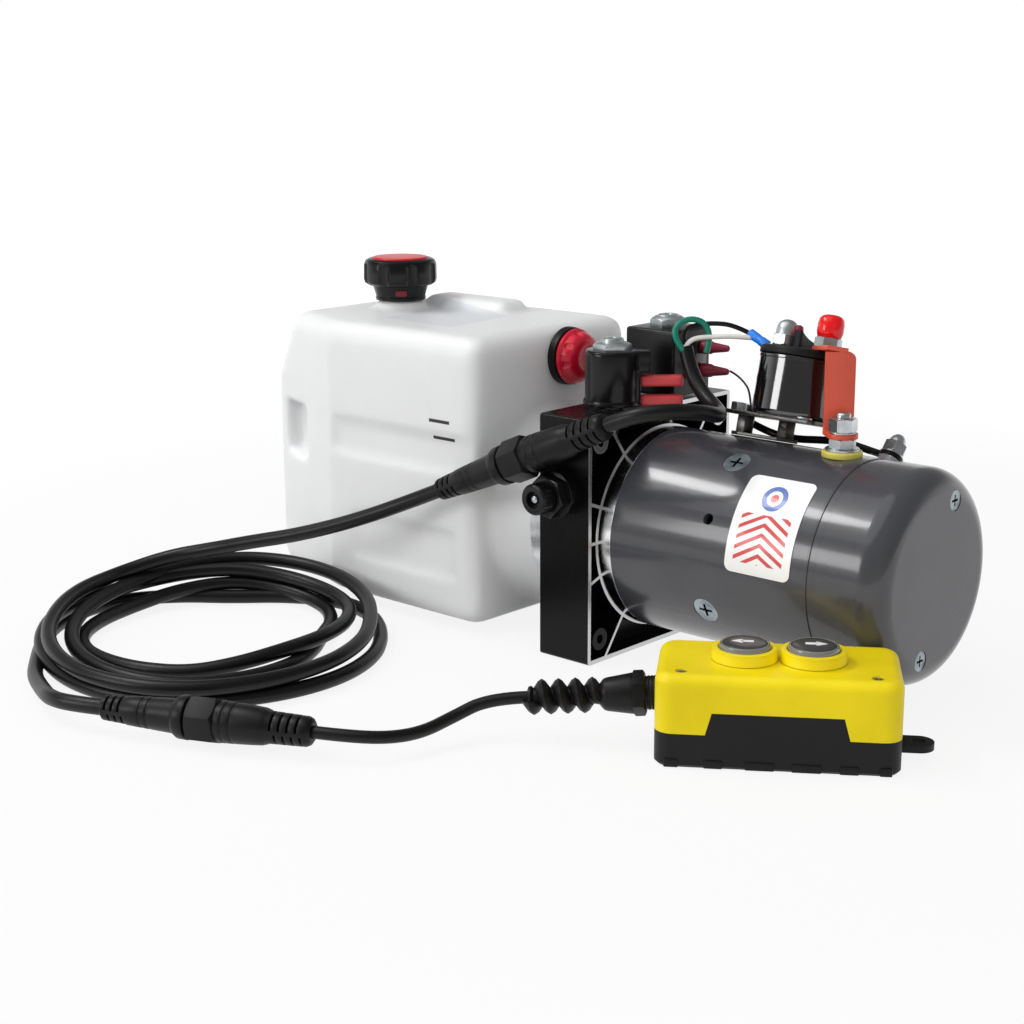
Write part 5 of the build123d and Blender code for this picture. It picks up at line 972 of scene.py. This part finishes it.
def cord_curve(name, points, diameter, finish, rounds=6):
    """One open NURBS spline through its route, as a round cord; rounds is how finely its section is drawn."""
    curve = bpy.data.curves.new(name, "CURVE")
    curve.dimensions = "3D"
    spline = curve.splines.new("NURBS")
    spline.points.add(len(points) - 1)
    for point, place in zip(spline.points, points):
        point.co = (*metres(place), 1.0)
        point.radius = diameter / 2
    spline.order_u = 3
    spline.use_endpoint_u = True
    spline.resolution_u = 8
    curve.bevel_depth = 1.0
    curve.bevel_resolution = rounds
    curve.use_fill_caps = True
    obj = bpy.data.objects.new(name, curve)
    bpy.context.scene.collection.objects.link(obj)
    curve.materials.append(MADE[finish])
    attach(obj, "unit")
    return obj


def spline_length(obj):
    """Length of a cord's own line, in metres."""
    depth = obj.data.bevel_depth
    obj.data.bevel_depth = 0.0
    line = bpy.data.meshes.new_from_object(obj.evaluated_get(bpy.context.evaluated_depsgraph_get()))
    obj.data.bevel_depth = depth
    places = [vertex.co.copy() for vertex in line.vertices]
    bpy.data.meshes.remove(line)
    return sum((b - a).length for a, b in zip(places, places[1:]))


class UNIT_OT_cords(bpy.types.Operator):
    """The harness cable, the coiled main cord and the pendant's cord"""

    bl_idname = "unit.cords"
    bl_label = "Cords"

    def execute(self, context):
        size = context.scene.unit_cords
        harness = cord_curve("harness_cord", HARNESS_ROUTE, size.main, "cord")
        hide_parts("harness_cable")
        main_cord = cord_curve("main_cord", UPPER_ROUTE + coil_route() + TAIL_ROUTE, size.main, "cord")
        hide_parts("cord_upper", "cord_coil")
        lead = cord_curve("pendant_cord", PENDANT_ROUTE, size.pendant, "cord")
        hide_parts("cord_lower")
        context.view_layer.update()
        metres(HARNESS_ROUTE[0])
        spline_length(harness)
        metres(UPPER_START)
        spline_length(main_cord)
        metres(LOWER_END)
        spline_length(lead)
        return {"FINISHED"}


def slotted(body, low, pitch, count, core=4.9, thick=1.3):
    """Staggered slots across a cord boot: every second one starts half a pitch further along."""
    for index in range(count):
        for half, shift in ((1.0, 0.0), (-1.0, 0.5)):
            height = low + (index + shift) * pitch
            ring = hoop("ring", [(height, core), (height, 12.0), (height + thick, 12.0), (height + thick, core)], 40)
            near, far = sorted((0.9 * half, 13.0 * half))
            cut(ring, slab("keep", (-13.0, near, height - 1.0), (13.0, far, height + thick + 1.0)), "INTERSECT")
            cut(body, ring)


# An in-line connector from its left boot to its right boot: the share of its length and the radius there.
CONNECTOR_SHAPE = [
    (0.0, 3.6), (0.004, 5.2), (0.014, 6.3), (0.125, 7.1), (0.132, 7.4), (0.2, 7.9), (0.204, 7.6), (0.212, 7.6),
    (0.216, 8.0), (0.236, 8.1), (0.24, 7.8), (0.248, 7.8), (0.252, 8.2), (0.36, 8.9), (0.372, 10.2), (0.385, 11.0),
    (0.425, 11.2), (0.43, 9.0), (0.565, 9.0), (0.57, 10.3), (0.6, 10.5), (0.604, 10.1), (0.612, 10.1),
    (0.616, 10.4), (0.64, 10.3), (0.644, 9.9), (0.652, 9.9), (0.656, 10.2), (0.72, 9.8), (0.775, 9.3),
    (0.795, 8.6), (0.805, 8.1), (0.93, 7.7), (0.975, 7.5), (0.99, 6.7), (1.0, 5.0),
]


class UNIT_OT_connectors(bpy.types.Operator):
    """The two in-line connectors and their coupling nuts"""

    bl_idname = "unit.connectors"
    bl_label = "Connectors"

    def execute(self, context):
        for side, start, end in (("upper", UPPER_START, UPPER_END), ("lower", LOWER_START, LOWER_END)):
            axis = Vector(end) - Vector(start)
            length = axis.length
            body = turned("body", [(share * length, radius) for share, radius in CONNECTOR_SHAPE], 56)
            slotted(body, length * 0.03, length * 0.034, 3)
            slotted(body, length * 0.822, length * 0.039, 4, core=5.2)
            softened(body, 0.3)
            done(seated(body, start, axis), side + "_connector", "unit", "soft_black", ["connector_" + side])
            low = length * 0.44 + 0.3
            coupling = nut("coupling", 21.6, low - 0.6, low + 14.4, math.radians(8.0))
            cut(coupling, turned("throat", [(low - 3.0, 9.05), (low + 20.0, 9.05)], 48))
            collar = hoop("collar", [(low + 14.3, 9.1), (low + 14.3, 9.9), (low + 17.6, 9.7), (low + 17.9, 9.1)], 48)
            coupling = softened(joined("coupling", [coupling, collar]), 0.45, 3, 30.0)
            nodes = ["connector_nut_" + side]
            done(seated(coupling, start, axis), side + "_coupling", nodes[0], "matte_black", nodes)
        return {"FINISHED"}


# ---------------------------------------------------------------- pendant
GLAND_START = (-58.5, 0.0, 27.0)
GLAND_AXIS = (-1.0, 0.0, -0.0844)


class UNIT_OT_strain_relief(bpy.types.Operator):
    """The pendant's gland and the spiral sleeve that lets its cord bend"""

    bl_idname = "unit.strain_relief"
    bl_label = "Strain relief"

    def execute(self, context):
        neck = turned("neck", [(-2.0, 8.6), (0.6, 8.6), (1.2, 8.1), (2.1, 8.6), (3.0, 8.1), (3.9, 8.6), (4.8, 8.1),
                               (6.0, 8.4)], 56)
        gland = nut("gland", 19.8, 5.6, 11.9, math.radians(12.0))
        sleeve = turned("sleeve", [(11.6, 10.2), (12.6, 10.1), (24.6, 8.3), (26.2, 7.7), (27.2, 6.6), (28.6, 4.9),
                                   (30.6, 4.5), (62.0, 4.3), (63.2, 4.1), (64.0, 3.5)], 56)
        spiral = self.spiral(8.4, 4, 29.2)
        tip = turned("tip", [(60.8, 4.2), (62.2, 5.6), (63.4, 5.3), (64.0, 4.0)], 48)
        relief = joined("relief", [softened(piece, 0.3) for piece in (neck, gland, sleeve)] + [spiral, tip])
        seated(relief, GLAND_START, GLAND_AXIS)
        done(carried(relief, PENDANT), "pendant_strain_relief", "unit", "soft_black", ["strain_relief"])
        return {"FINISHED"}

    def spiral(self, pitch, turns, low):
        """A screw of a lens-shaped section, closed at both ends."""
        only(None)
        bpy.ops.mesh.primitive_circle_add(
            vertices=8, radius=1.0, fill_type="NOTHING", location=(0.0, 0.0, 0.0), rotation=(math.pi / 2, 0.0, 0.0))
        obj = bpy.context.object
        obj.name = "spiral"
        bpy.ops.object.transform_apply()
        for vertex in obj.data.vertices:
            across = abs(vertex.co.x)
            vertex.co.z *= 3.9 * (1.0 - 0.45 * across)
            vertex.co.x = 4.9 + vertex.co.x * 4.0
        modify(obj, "SCREW", angle=math.tau, screw_offset=pitch, iterations=turns, steps=36, render_steps=36,
               use_merge_vertices=False)
        only(obj)
        bpy.ops.object.mode_set(mode="EDIT")
        bpy.ops.mesh.select_all(action="DESELECT")
        bpy.ops.mesh.select_non_manifold()
        bpy.ops.mesh.fill_holes(sides=0)
        bpy.ops.object.mode_set(mode="OBJECT")
        return mend(moved(obj, 0.0, 0.0, low))


class UNIT_OT_pendant(bpy.types.Operator):
    """Collars, buttons with their arrows, cover screws and feet of the pendant"""

    bl_idname = "unit.pendant"
    bl_label = "Pendant"

    def execute(self, context):
        for side, name in ((-1.0, "left"), (1.0, "right")):
            self.button(side, name)
        done(joined("screws", [self.screw(side) for side in (-1.0, 1.0)]), "cover_screws", "unit", "zinc",
             ["pendant_screws"])
        feet = [slab("foot", (x - width / 2, -30.7, 0.3), (x + width / 2, -29.4, 4.6), 0.6)
                for x, width in ((-50.0, 7.0), (-30.0, 9.0), (-8.0, 14.0), (14.0, 14.0), (34.0, 9.0), (51.0, 6.0))]
        done(carried(joined("feet", feet), PENDANT), "base_ribs", "unit", "matte_black")
        return {"FINISHED"}

    def button(self, side, name):
        """One button with its clear rim, its arrow and the yellow collar round it."""
        collar = hoop("collar", [(45.7, 16.9), (46.1, 16.35), (47.0, 15.95), (51.0, 15.85), (51.8, 15.6),
                                 (52.25, 15.0), (52.3, 13.2), (51.8, 12.75), (50.0, 12.7)], 96)
        rim = hoop("rim", [(48.4, 10.9), (48.4, 12.4), (53.2, 12.45), (54.1, 12.1), (54.5, 11.4), (54.3, 10.9)], 96)
        face = turned("face", [(43.4, 10.6), (53.9, 10.85), (54.5, 10.5), (54.8, 9.8), (54.95, 6.0), (55.0, 1.0)], 96)
        body = "button_" + name
        for piece, title, rides, finish, nodes, smooth in (
                (collar, "collar_", "unit", "yellow", [], 35.0), (rim, "button_rim_", body, "clear_rim", [body], 35.0),
                (face, "button_face_", body, "button", [], 35.0),
                (self.arrow(side), "button_arrow_", body, "white", [], 0.0)):
            done(carried(moved(piece, side * BUTTON_X), PENDANT), title + name, rides, finish, nodes, smooth)

    def arrow(self, side):
        """A block arrow that points away from the other button."""
        shaft = slab("shaft", (-4.2, -1.5, 54.9), (1.8, 1.5, 55.12))
        head = turned("head", [(54.9, 3.7), (55.12, 3.7)], sides=3, turn=-math.pi / 2)
        head.location = (2.9, 0.0, 0.0)
        arrow = joined("arrow", [shaft, head])
        arrow.rotation_euler = (0.0, 0.0, 0.0 if side > 0 else math.pi)
        return applied(arrow)

    def screw(self, side):
        """One of the cover's two cross-head screws."""
        head = turned("head", [(44.6, 2.8), (45.2, 2.85), (45.55, 2.5), (45.7, 1.2), (45.72, 0.4)], 40)
        for turn in (0.3, 0.3 + math.pi / 2):
            bar = slab("bar", (-1.9, -0.33, 45.1), (1.9, 0.33, 46.2))
            bar.rotation_euler = (0.0, 0.0, turn)
            cut(head, bar)
        shank = turned("shank", [(28.0, 1.2), (28.6, 1.6), (44.7, 1.6)], 24)
        return carried(moved(joined("screw", [head, shank]), side * 46.0, -21.5), PENDANT)


# ---------------------------------------------------------------- valves
def about(place, angle):
    """The move of a piece modelled at the origin to an upright axis."""
    return Matrix.Translation(place) @ Matrix.Rotation(angle, 4, "Z")


def stem_tube(top):
    """A valve's stem tube with a dimple in its end."""
    stem = turned("stem", [(139.2, 6.3), (top - 0.9, 6.3), (top - 0.3, 5.9), (top, 5.0), (top - 0.05, 2.4),
                           (top - 0.5, 2.1), (top - 0.55, 0.6)], 48)
    return cut(stem, turned("bore", [(130.0, 4.6), (top - 1.4, 4.6)], 40))


def coil_nut(flats, low, high, drop):
    """A hexagon nut whose top is turned to a broad chamfer, bored for the stem."""
    corner = flats / math.sqrt(3.0)
    obj = hexagon("nut", flats, low, high, math.radians(17.0))
    tool = turned("tool", [(low - 0.1, corner * 1.02), (high - drop, corner * 1.01), (high - drop * 0.4, flats * 0.49),
                           (high + 0.02, flats * 0.40)], sides=56)
    cut(obj, tool, "INTERSECT")
    cut(obj, turned("bore", [(low - 1.0, 6.2), (high + 1.0, 6.2)], 48))
    return softened(obj, 0.25, 2, 25.0)


class UNIT_OT_valves(bpy.types.Operator):
    """Solenoid coils, their nuts and stems, terminal hoods and push-on boots"""

    bl_idname = "unit.valves"
    bl_label = "Valves"

    def execute(self, context):
        front, rear = about(FRONT_VALVE, FRONT_TURN), about(REAR_VALVE, REAR_TURN)
        coil = turned("coil", [(141.05, 14.4), (141.6, 15.1), (142.6, 15.3), (169.0, 15.3), (170.6, 15.0),
                               (171.2, 14.4), (171.4, 13.4), (171.4, 6.9)], 96)
        foot = hoop("foot", [(141.0, 15.2), (141.0, 16.2), (142.2, 16.4), (143.4, 16.0), (143.6, 15.2)], 96)
        coil = moved(joined("coil", [coil, foot]), *FRONT_VALVE)
        hood = slab("hood", (2.0, -8.5, 141.2), (15.6, 8.5, 170.9), 1.6, 3)
        lid = slab("lid", (6.0, -8.5, 159.1), (21.0, 8.5, 171.3), 1.3, 3)
        hood = carried(joined("hood", [hood, lid]), front)
        done(joined("front", [coil, hood]), "valve_coil_front", "unit", "black", ["coil_front"])
        case = moved(slab("case", (-17.4, -17.4, 141.1), (17.4, 17.4, 179.1), 1.7, 4), *REAR_VALVE)
        chin = carried(slab("chin", (10.0, -8.5, 150.0), (21.0, 8.5, 173.0), 1.2, 3), rear)
        done(joined("rear", [case, chin]), "valve_coil_rear", "unit", "coil_black", ["coil_rear"])
        nuts = [moved(coil_nut(19.0, 171.3, 175.6, 1.6), *FRONT_VALVE),
                moved(coil_nut(18.4, 179.0, 185.0, 2.4), *REAR_VALVE)]
        done(joined("nuts", nuts), "coil_nuts_made", "unit", "pale_zinc", ["coil_nuts"])
        stems = [moved(stem_tube(178.0), *FRONT_VALVE), moved(stem_tube(186.0), *REAR_VALVE)]
        done(joined("stems", stems), "stem_tubes", "unit", "pale_zinc", ["valve_stems"])
        boots = [carried(slab("boot", (15.6, -3.6, height - 3.1), (39.6, 3.6, height + 3.1), 1.7, 4), front)
                 for height in (142.5, 153.6)]
        done(joined("boots", boots), "front_boots", "unit", "front_spade")
        cone = [(0.0, 3.6), (0.8, 4.0), (6.0, 3.8), (7.4, 3.1), (15.0, 2.0), (16.4, 1.7), (17.0, 0.9)]
        boots = [carried(seated(turned("boot", cone, 36), (21.0, 0.0, height), (1, 0, 0)), rear)
                 for height in (155.0, 168.3)]
        done(joined("boots", boots), "rear_boots", "unit", "spade", ["spade_boots"])
        self.relief()
        return {"FINISHED"}

    def relief(self):
        """The relief valve's hexagon, its ribbed knob with a round recess, and the bright screw end in it."""
        made = copied("relief_valve", "relief_made")
        cut(made, seated(turned("recess", [(-1.0, 4.7), (3.2, 4.7)], 48), RELIEF_FACE, (0, 1, 0)))
        collar = nut("collar", 21.6, -17.2, -9.8, 0.3)
        washer = turned("washer", [(-18.0, 12.6), (-17.7, 13.1), (-17.1, 13.1), (-16.9, 12.4)], 64)
        knob = turned("knob", [(-8.6, 8.25), (-8.2, 8.7), (-1.2, 8.7), (-0.5, 8.3)], 96)
        fluted(knob, [(-9.0, 0.42), (-0.9, 0.42)], 12, count=24, reach=8.85)
        cut(knob, turned("mouth", [(-10.0, 8.0), (1.0, 8.0)], 64))
        pieces = [made] + [seated(piece, RELIEF_FACE, (0, -1, 0)) for piece in (collar, washer, knob)]
        done(joined("relief", pieces), "relief_valve_made", "unit", "black", ["relief_valve"])
        end = turned("end", [(-3.2, 2.5), (-2.2, 2.5), (-1.2, 2.1), (-0.6, 1.3), (-0.45, 0.5)], 40)
        done(seated(end, RELIEF_FACE, (0, -1, 0)), "relief_screw_end", "unit", "bright_zinc")


# ---------------------------------------------------------------- contactor and studs
class UNIT_OT_contactor(bpy.types.Operator):
    """The contactor's can, cap and barrier, its studs, nuts and red boot"""

    bl_idname = "unit.contactor"
    bl_label = "Contactor"

    def execute(self, context):
        left, right = STUD_X
        can = turned("can", [(70.85, 21.0), (71.3, 22.8), (72.2, 23.4), (74.0, 23.5), (101.4, 23.5), (101.8, 23.9),
                             (103.0, 23.9), (103.7, 23.3), (103.75, 20.0)], 128)
        can = carried(moved(can, CAN_X), CONTACTOR)
        done(can, "contactor_can_made", "unit", "gloss_black", ["contactor_can"])
        cap = moved(turned("cap", [(103.8, 23.6), (104.1, 24.1), (106.9, 24.1), (107.9, 23.5), (108.3, 22.2),
                                   (108.3, 6.0)], 96), CAN_X)
        web = slab("web", (-4.0, -5.0, 106.0), (0.8, 18.8, 120.0), 0.7)
        cut(web, seated(turned("scoop", [(-20.0, 30.0), (20.0, 30.0)], 96), (CAN_X, 12.0, 143.2), (1, 0, 0)))
        bosses = [moved(turned("boss", [(107.8, 8.4), (109.0, 8.0), (109.4, 7.2)], 48), x) for x in STUD_X]
        cap = carried(softened(joined("cap", [cap, web] + bosses), 0.4, 2, 35.0), CONTACTOR)
        done(cap, "contactor_cap_made", "unit", "matte_black", ["contactor_cap"])
        acorn = turned("acorn", [(115.3, 6.1), (118.2, 6.15), (120.6, 5.6), (122.4, 4.3), (123.4, 2.6),
                                 (123.8, 0.8)], 56)
        metal = [moved(nut("low_nut", 13.0, 109.5, 115.5, 0.5), left), moved(acorn, left),
                 moved(nut("high_nut", 13.0, 110.8, 116.2, 0.2), right),
                 moved(threads("stud", 4.0, 106.0, 123.0), right)]
        metal = carried(joined("metal", metal), CONTACTOR)
        done(metal, "contactor_nuts", "unit", "pale_zinc", ["contactor_studs"])
        tip = turned("tip", [(113.0, 1.8), (113.4, 2.5), (118.5, 2.7), (120.6, 2.2), (121.4, 1.0)], 40)
        done(carried(moved(tip, -5.4, 1.0), CONTACTOR), "rear_lead_boot", "unit", "spade")
        boot = moved(turned("boot", [(115.8, 5.7), (116.2, 6.4), (119.2, 7.2), (123.6, 7.2), (126.4, 6.6), (127.9, 5.2),
                                     (128.6, 3.2), (128.8, 1.0)], 72), right)
        done(carried(boot, CONTACTOR), "stud_boot_made", "unit", "boot", ["stud_boot"], smooth=60.0)
        return {"FINISHED"}


class UNIT_OT_bracket(bpy.types.Operator):
    """The contactor's plate, its strap over the motor, spacers and nuts"""

    bl_idname = "unit.bracket"
    bl_label = "Bracket"

    def execute(self, context):
        for node, name, finish, width in (("contactor_bracket", "bracket_made", "plate", 0.45),
                                          ("bracket_bolts", "bolts_made", "bright_zinc", 0.25),
                                          ("busbar", "busbar_made", "busbar", 0.45)):
            made = copied(node, name)
            modify(made, "DECIMATE", decimate_type="DISSOLVE", angle_limit=math.radians(1.5))
            softened(made, width, 2, 40.0)
            modify(made, "TRIANGULATE")
            done(made, name, "unit", finish, [node])
        extras = [moved(nut("plate_nut", 8.0, 70.7, 75.2, 0.3), -29.0, -8.5),
                  moved(turned("eyelet", [(70.8, 4.4), (71.2, 4.6), (71.9, 4.4), (72.0, 2.4)], 40), 17.0, -14.2)]
        done(carried(joined("extras", extras), CONTACTOR), "plate_fixings", "unit", "bright_zinc")
        return {"FINISHED"}


class UNIT_OT_studs(bpy.types.Operator):
    """The motor's live stud and its ground stud, with nuts, washers and the ground lug"""

    bl_idname = "unit.studs"
    bl_label = "Motor studs"

    def execute(self, context):
        collar = turned("collar", [(56.6, 10.4), (57.6, 10.8), (59.2, 10.7), (59.8, 10.1), (59.9, 7.0)], 96)
        collar = seated(collar, TERMINAL_PLACE, (0, 0, 1))
        done(collar, "terminal_collar", "unit", "insulator", ["terminal_insulator"])
        metal = [turned("washer", [(59.6, 8.6), (59.9, 9.0), (60.8, 9.0), (61.1, 8.6), (61.1, 5.0)], 64),
                 nut("lower_nut", 13.0, 61.0, 66.35, 0.4),
                 nut("upper_nut", 13.0, 69.8, 77.0, 0.15),
                 turned("spring", [(68.75, 6.6), (69.0, 6.9), (69.6, 6.9), (69.85, 6.5)], 48),
                 threads("stud", 4.0, 66.0, 77.6, tip=0.1),
                 turned("dome", [(77.4, 4.0), (78.6, 3.9), (79.6, 3.2), (80.1, 1.9), (80.15, 0.8)], 48)]
        metal = seated(joined("metal", metal), TERMINAL_PLACE, (0, 0, 1))
        done(metal, "terminal_metal", "unit", "bright_zinc", ["terminal_stud"])
        axis = (0.0, math.sin(GROUND_TURN), math.cos(GROUND_TURN))
        metal = [turned("seat", [(57.0, 6.4), (57.6, 6.6), (58.4, 6.6)], 48),
                 nut("base_nut", 12.4, 58.2, 65.15, 0.6),
                 nut("cap_nut", 11.6, 68.4, 75.0, 0.5),
                 turned("dome", [(74.6, 5.0), (76.2, 4.9), (78.4, 4.2), (80.2, 2.8), (81.0, 1.0)], 56),
                 turned("washer", [(67.3, 6.6), (67.5, 6.9), (68.1, 6.9), (68.4, 6.6)], 48)]
        metal = seated(joined("metal", metal), GROUND_PLACE, axis)
        done(metal, "ground_metal", "unit", "bright_zinc", ["ground_stud"])
        ring = turned("ring", [(65.2, 6.5), (65.4, 7.0), (66.9, 7.0), (67.2, 6.5)], 48)
        tail = slab("tail", (-12.5, -2.3, 65.2), (-4.0, 2.3, 68.2), 1.0, 3)
        lug = seated(joined("lug", [ring, tail]), GROUND_PLACE, axis, 0.35 + math.pi)
        done(lug, "ground_lug", "unit", "soft_black")
        return {"FINISHED"}


# ---------------------------------------------------------------- wires
# Each wire's points in millimetres, its diameter in metres, its finish and how finely its section is drawn.
WIRES = {
    "black_core": ([(30.5, 2.8, 173.7), (27.1, 4.4, 181.1), (31.6, 9.3, 184.3), (40.0, 15.5, 185.5),
                    (49.5, 22.2, 184.6), (56.4, 28.9, 179.5)], 0.0027, "cord", 5),
    "white_core": ([(30.8, 1.6, 171.7), (31.7, 3.9, 175.4), (35.6, 6.9, 177.9), (42.0, 13.1, 178.2),
                    (50.5, 19.2, 178.8), (58.6, 26.8, 177.7)], 0.0028, "white_core", 5),
    "green_core": ([(31.3, 0.0, 171.3), (27.7, -2.7, 176.9), (26.5, -1.3, 184.4), (31.1, 5.3, 188.6),
                    (37.5, 11.5, 186.3), (40.0, 14.0, 177.3), (39.2, 10.7, 169.2)], 0.0034, "green_core", 5),
    "coil_lead": ([(37.2, 36.7, 155.6), (42.1, 36.8, 153.8), (49.2, 34.6, 150.3), (55.3, 31.1, 146.4),
                   (60.0, 26.0, 137.2)], 0.0012, "cord", 3),
    "ground_lead": ([(58.0, 26.0, 131.0), (72.0, 25.0, 126.5), (90.0, 25.0, 125.0), (104.0, 28.5, 126.0),
                     (114.0, 37.0, 125.0), (121.0, 40.9, 122.6), (127.6, 42.6, 120.9)], 0.0042, "cord", 5),
}
SLEEVE_START = Vector((56.2, 28.3, 180.1))
SLEEVE_END = Vector((74.2, 25.8, 172.4))


class UNIT_OT_wires(bpy.types.Operator):
    """The cores between the harness cable and the contactor, the green core's loop and the blue lug"""

    bl_idname = "unit.wires"
    bl_label = "Wires"

    def execute(self, context):
        for name, route in WIRES.items():
            wire = cord_curve(name, *route)
            if name == "black_core":
                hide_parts("harness_wires")
        sleeve = turned("sleeve", [(0.0, 2.2), (0.5, 2.7), (5.0, 2.75), (8.2, 2.5), (9.6, 2.75), (14.0, 2.9),
                                   (14.8, 2.4)], 40)
        done(seated(sleeve, SLEEVE_START, SLEEVE_END - SLEEVE_START), "lug_sleeve", "unit", "blue")
        low = STUD_BASE + 0.1
        tongue = slab("tongue", (-21.5, -2.3, low), (-16.0, 2.3, STUD_BASE + 1.5), 0.4)
        ring = turned("ring", [(low, 5.6), (low + 0.2, 5.9), (STUD_BASE + 1.2, 5.9), (STUD_BASE + 1.3, 5.6)], 40)
        lug = joined("lug", [tongue, moved(ring, STUD_X[0])])
        done(carried(lug, CONTACTOR), "coil_lug", "unit", "bright_zinc")
        return {"FINISHED"}


# ---------------------------------------------------------------- panel and registration
OPERATORS = ["stage", "finishes", "tank", "filler_cap", "fill_plug", "connectors", "cords", "strain_relief", "pendant",
             "valves", "contactor", "bracket", "studs", "wires"]


class UNIT_PT_panel(bpy.types.Panel):
    """The unit's pieces, one button each"""

    bl_idname = "UNIT_PT_panel"
    bl_label = "Power Unit"
    bl_space_type = "VIEW_3D"
    bl_region_type = "UI"
    bl_category = "Power Unit"

    def draw(self, context):
        for name in OPERATORS:
            self.layout.operator("unit." + name)


SETTINGS = {"unit_camera": CameraSettings, "unit_light": LightSettings, "unit_colours": ColourSettings,
            "unit_cords": CordSettings}
CLASSES = [*SETTINGS.values(), UNIT_OT_stage, UNIT_OT_finishes, UNIT_OT_tank, UNIT_OT_filler_cap, UNIT_OT_fill_plug,
           UNIT_OT_connectors, UNIT_OT_cords, UNIT_OT_strain_relief, UNIT_OT_pendant, UNIT_OT_valves,
           UNIT_OT_contactor, UNIT_OT_bracket, UNIT_OT_studs, UNIT_OT_wires, UNIT_PT_panel]


def register():
    for made in CLASSES:
        bpy.utils.register_class(made)
    for name, kind in SETTINGS.items():
        setattr(bpy.types.Scene, name, bpy.props.PointerProperty(type=kind))


def unregister():
    for name in SETTINGS:
        delattr(bpy.types.Scene, name)
    for made in reversed(CLASSES):
        bpy.utils.unregister_class(made)


def main():
    register()
    for name in OPERATORS:
        getattr(bpy.ops.unit, name)()
    only(None)
    bpy.context.view_layer.update()
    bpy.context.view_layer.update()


if __name__ == "__main__":
    main()
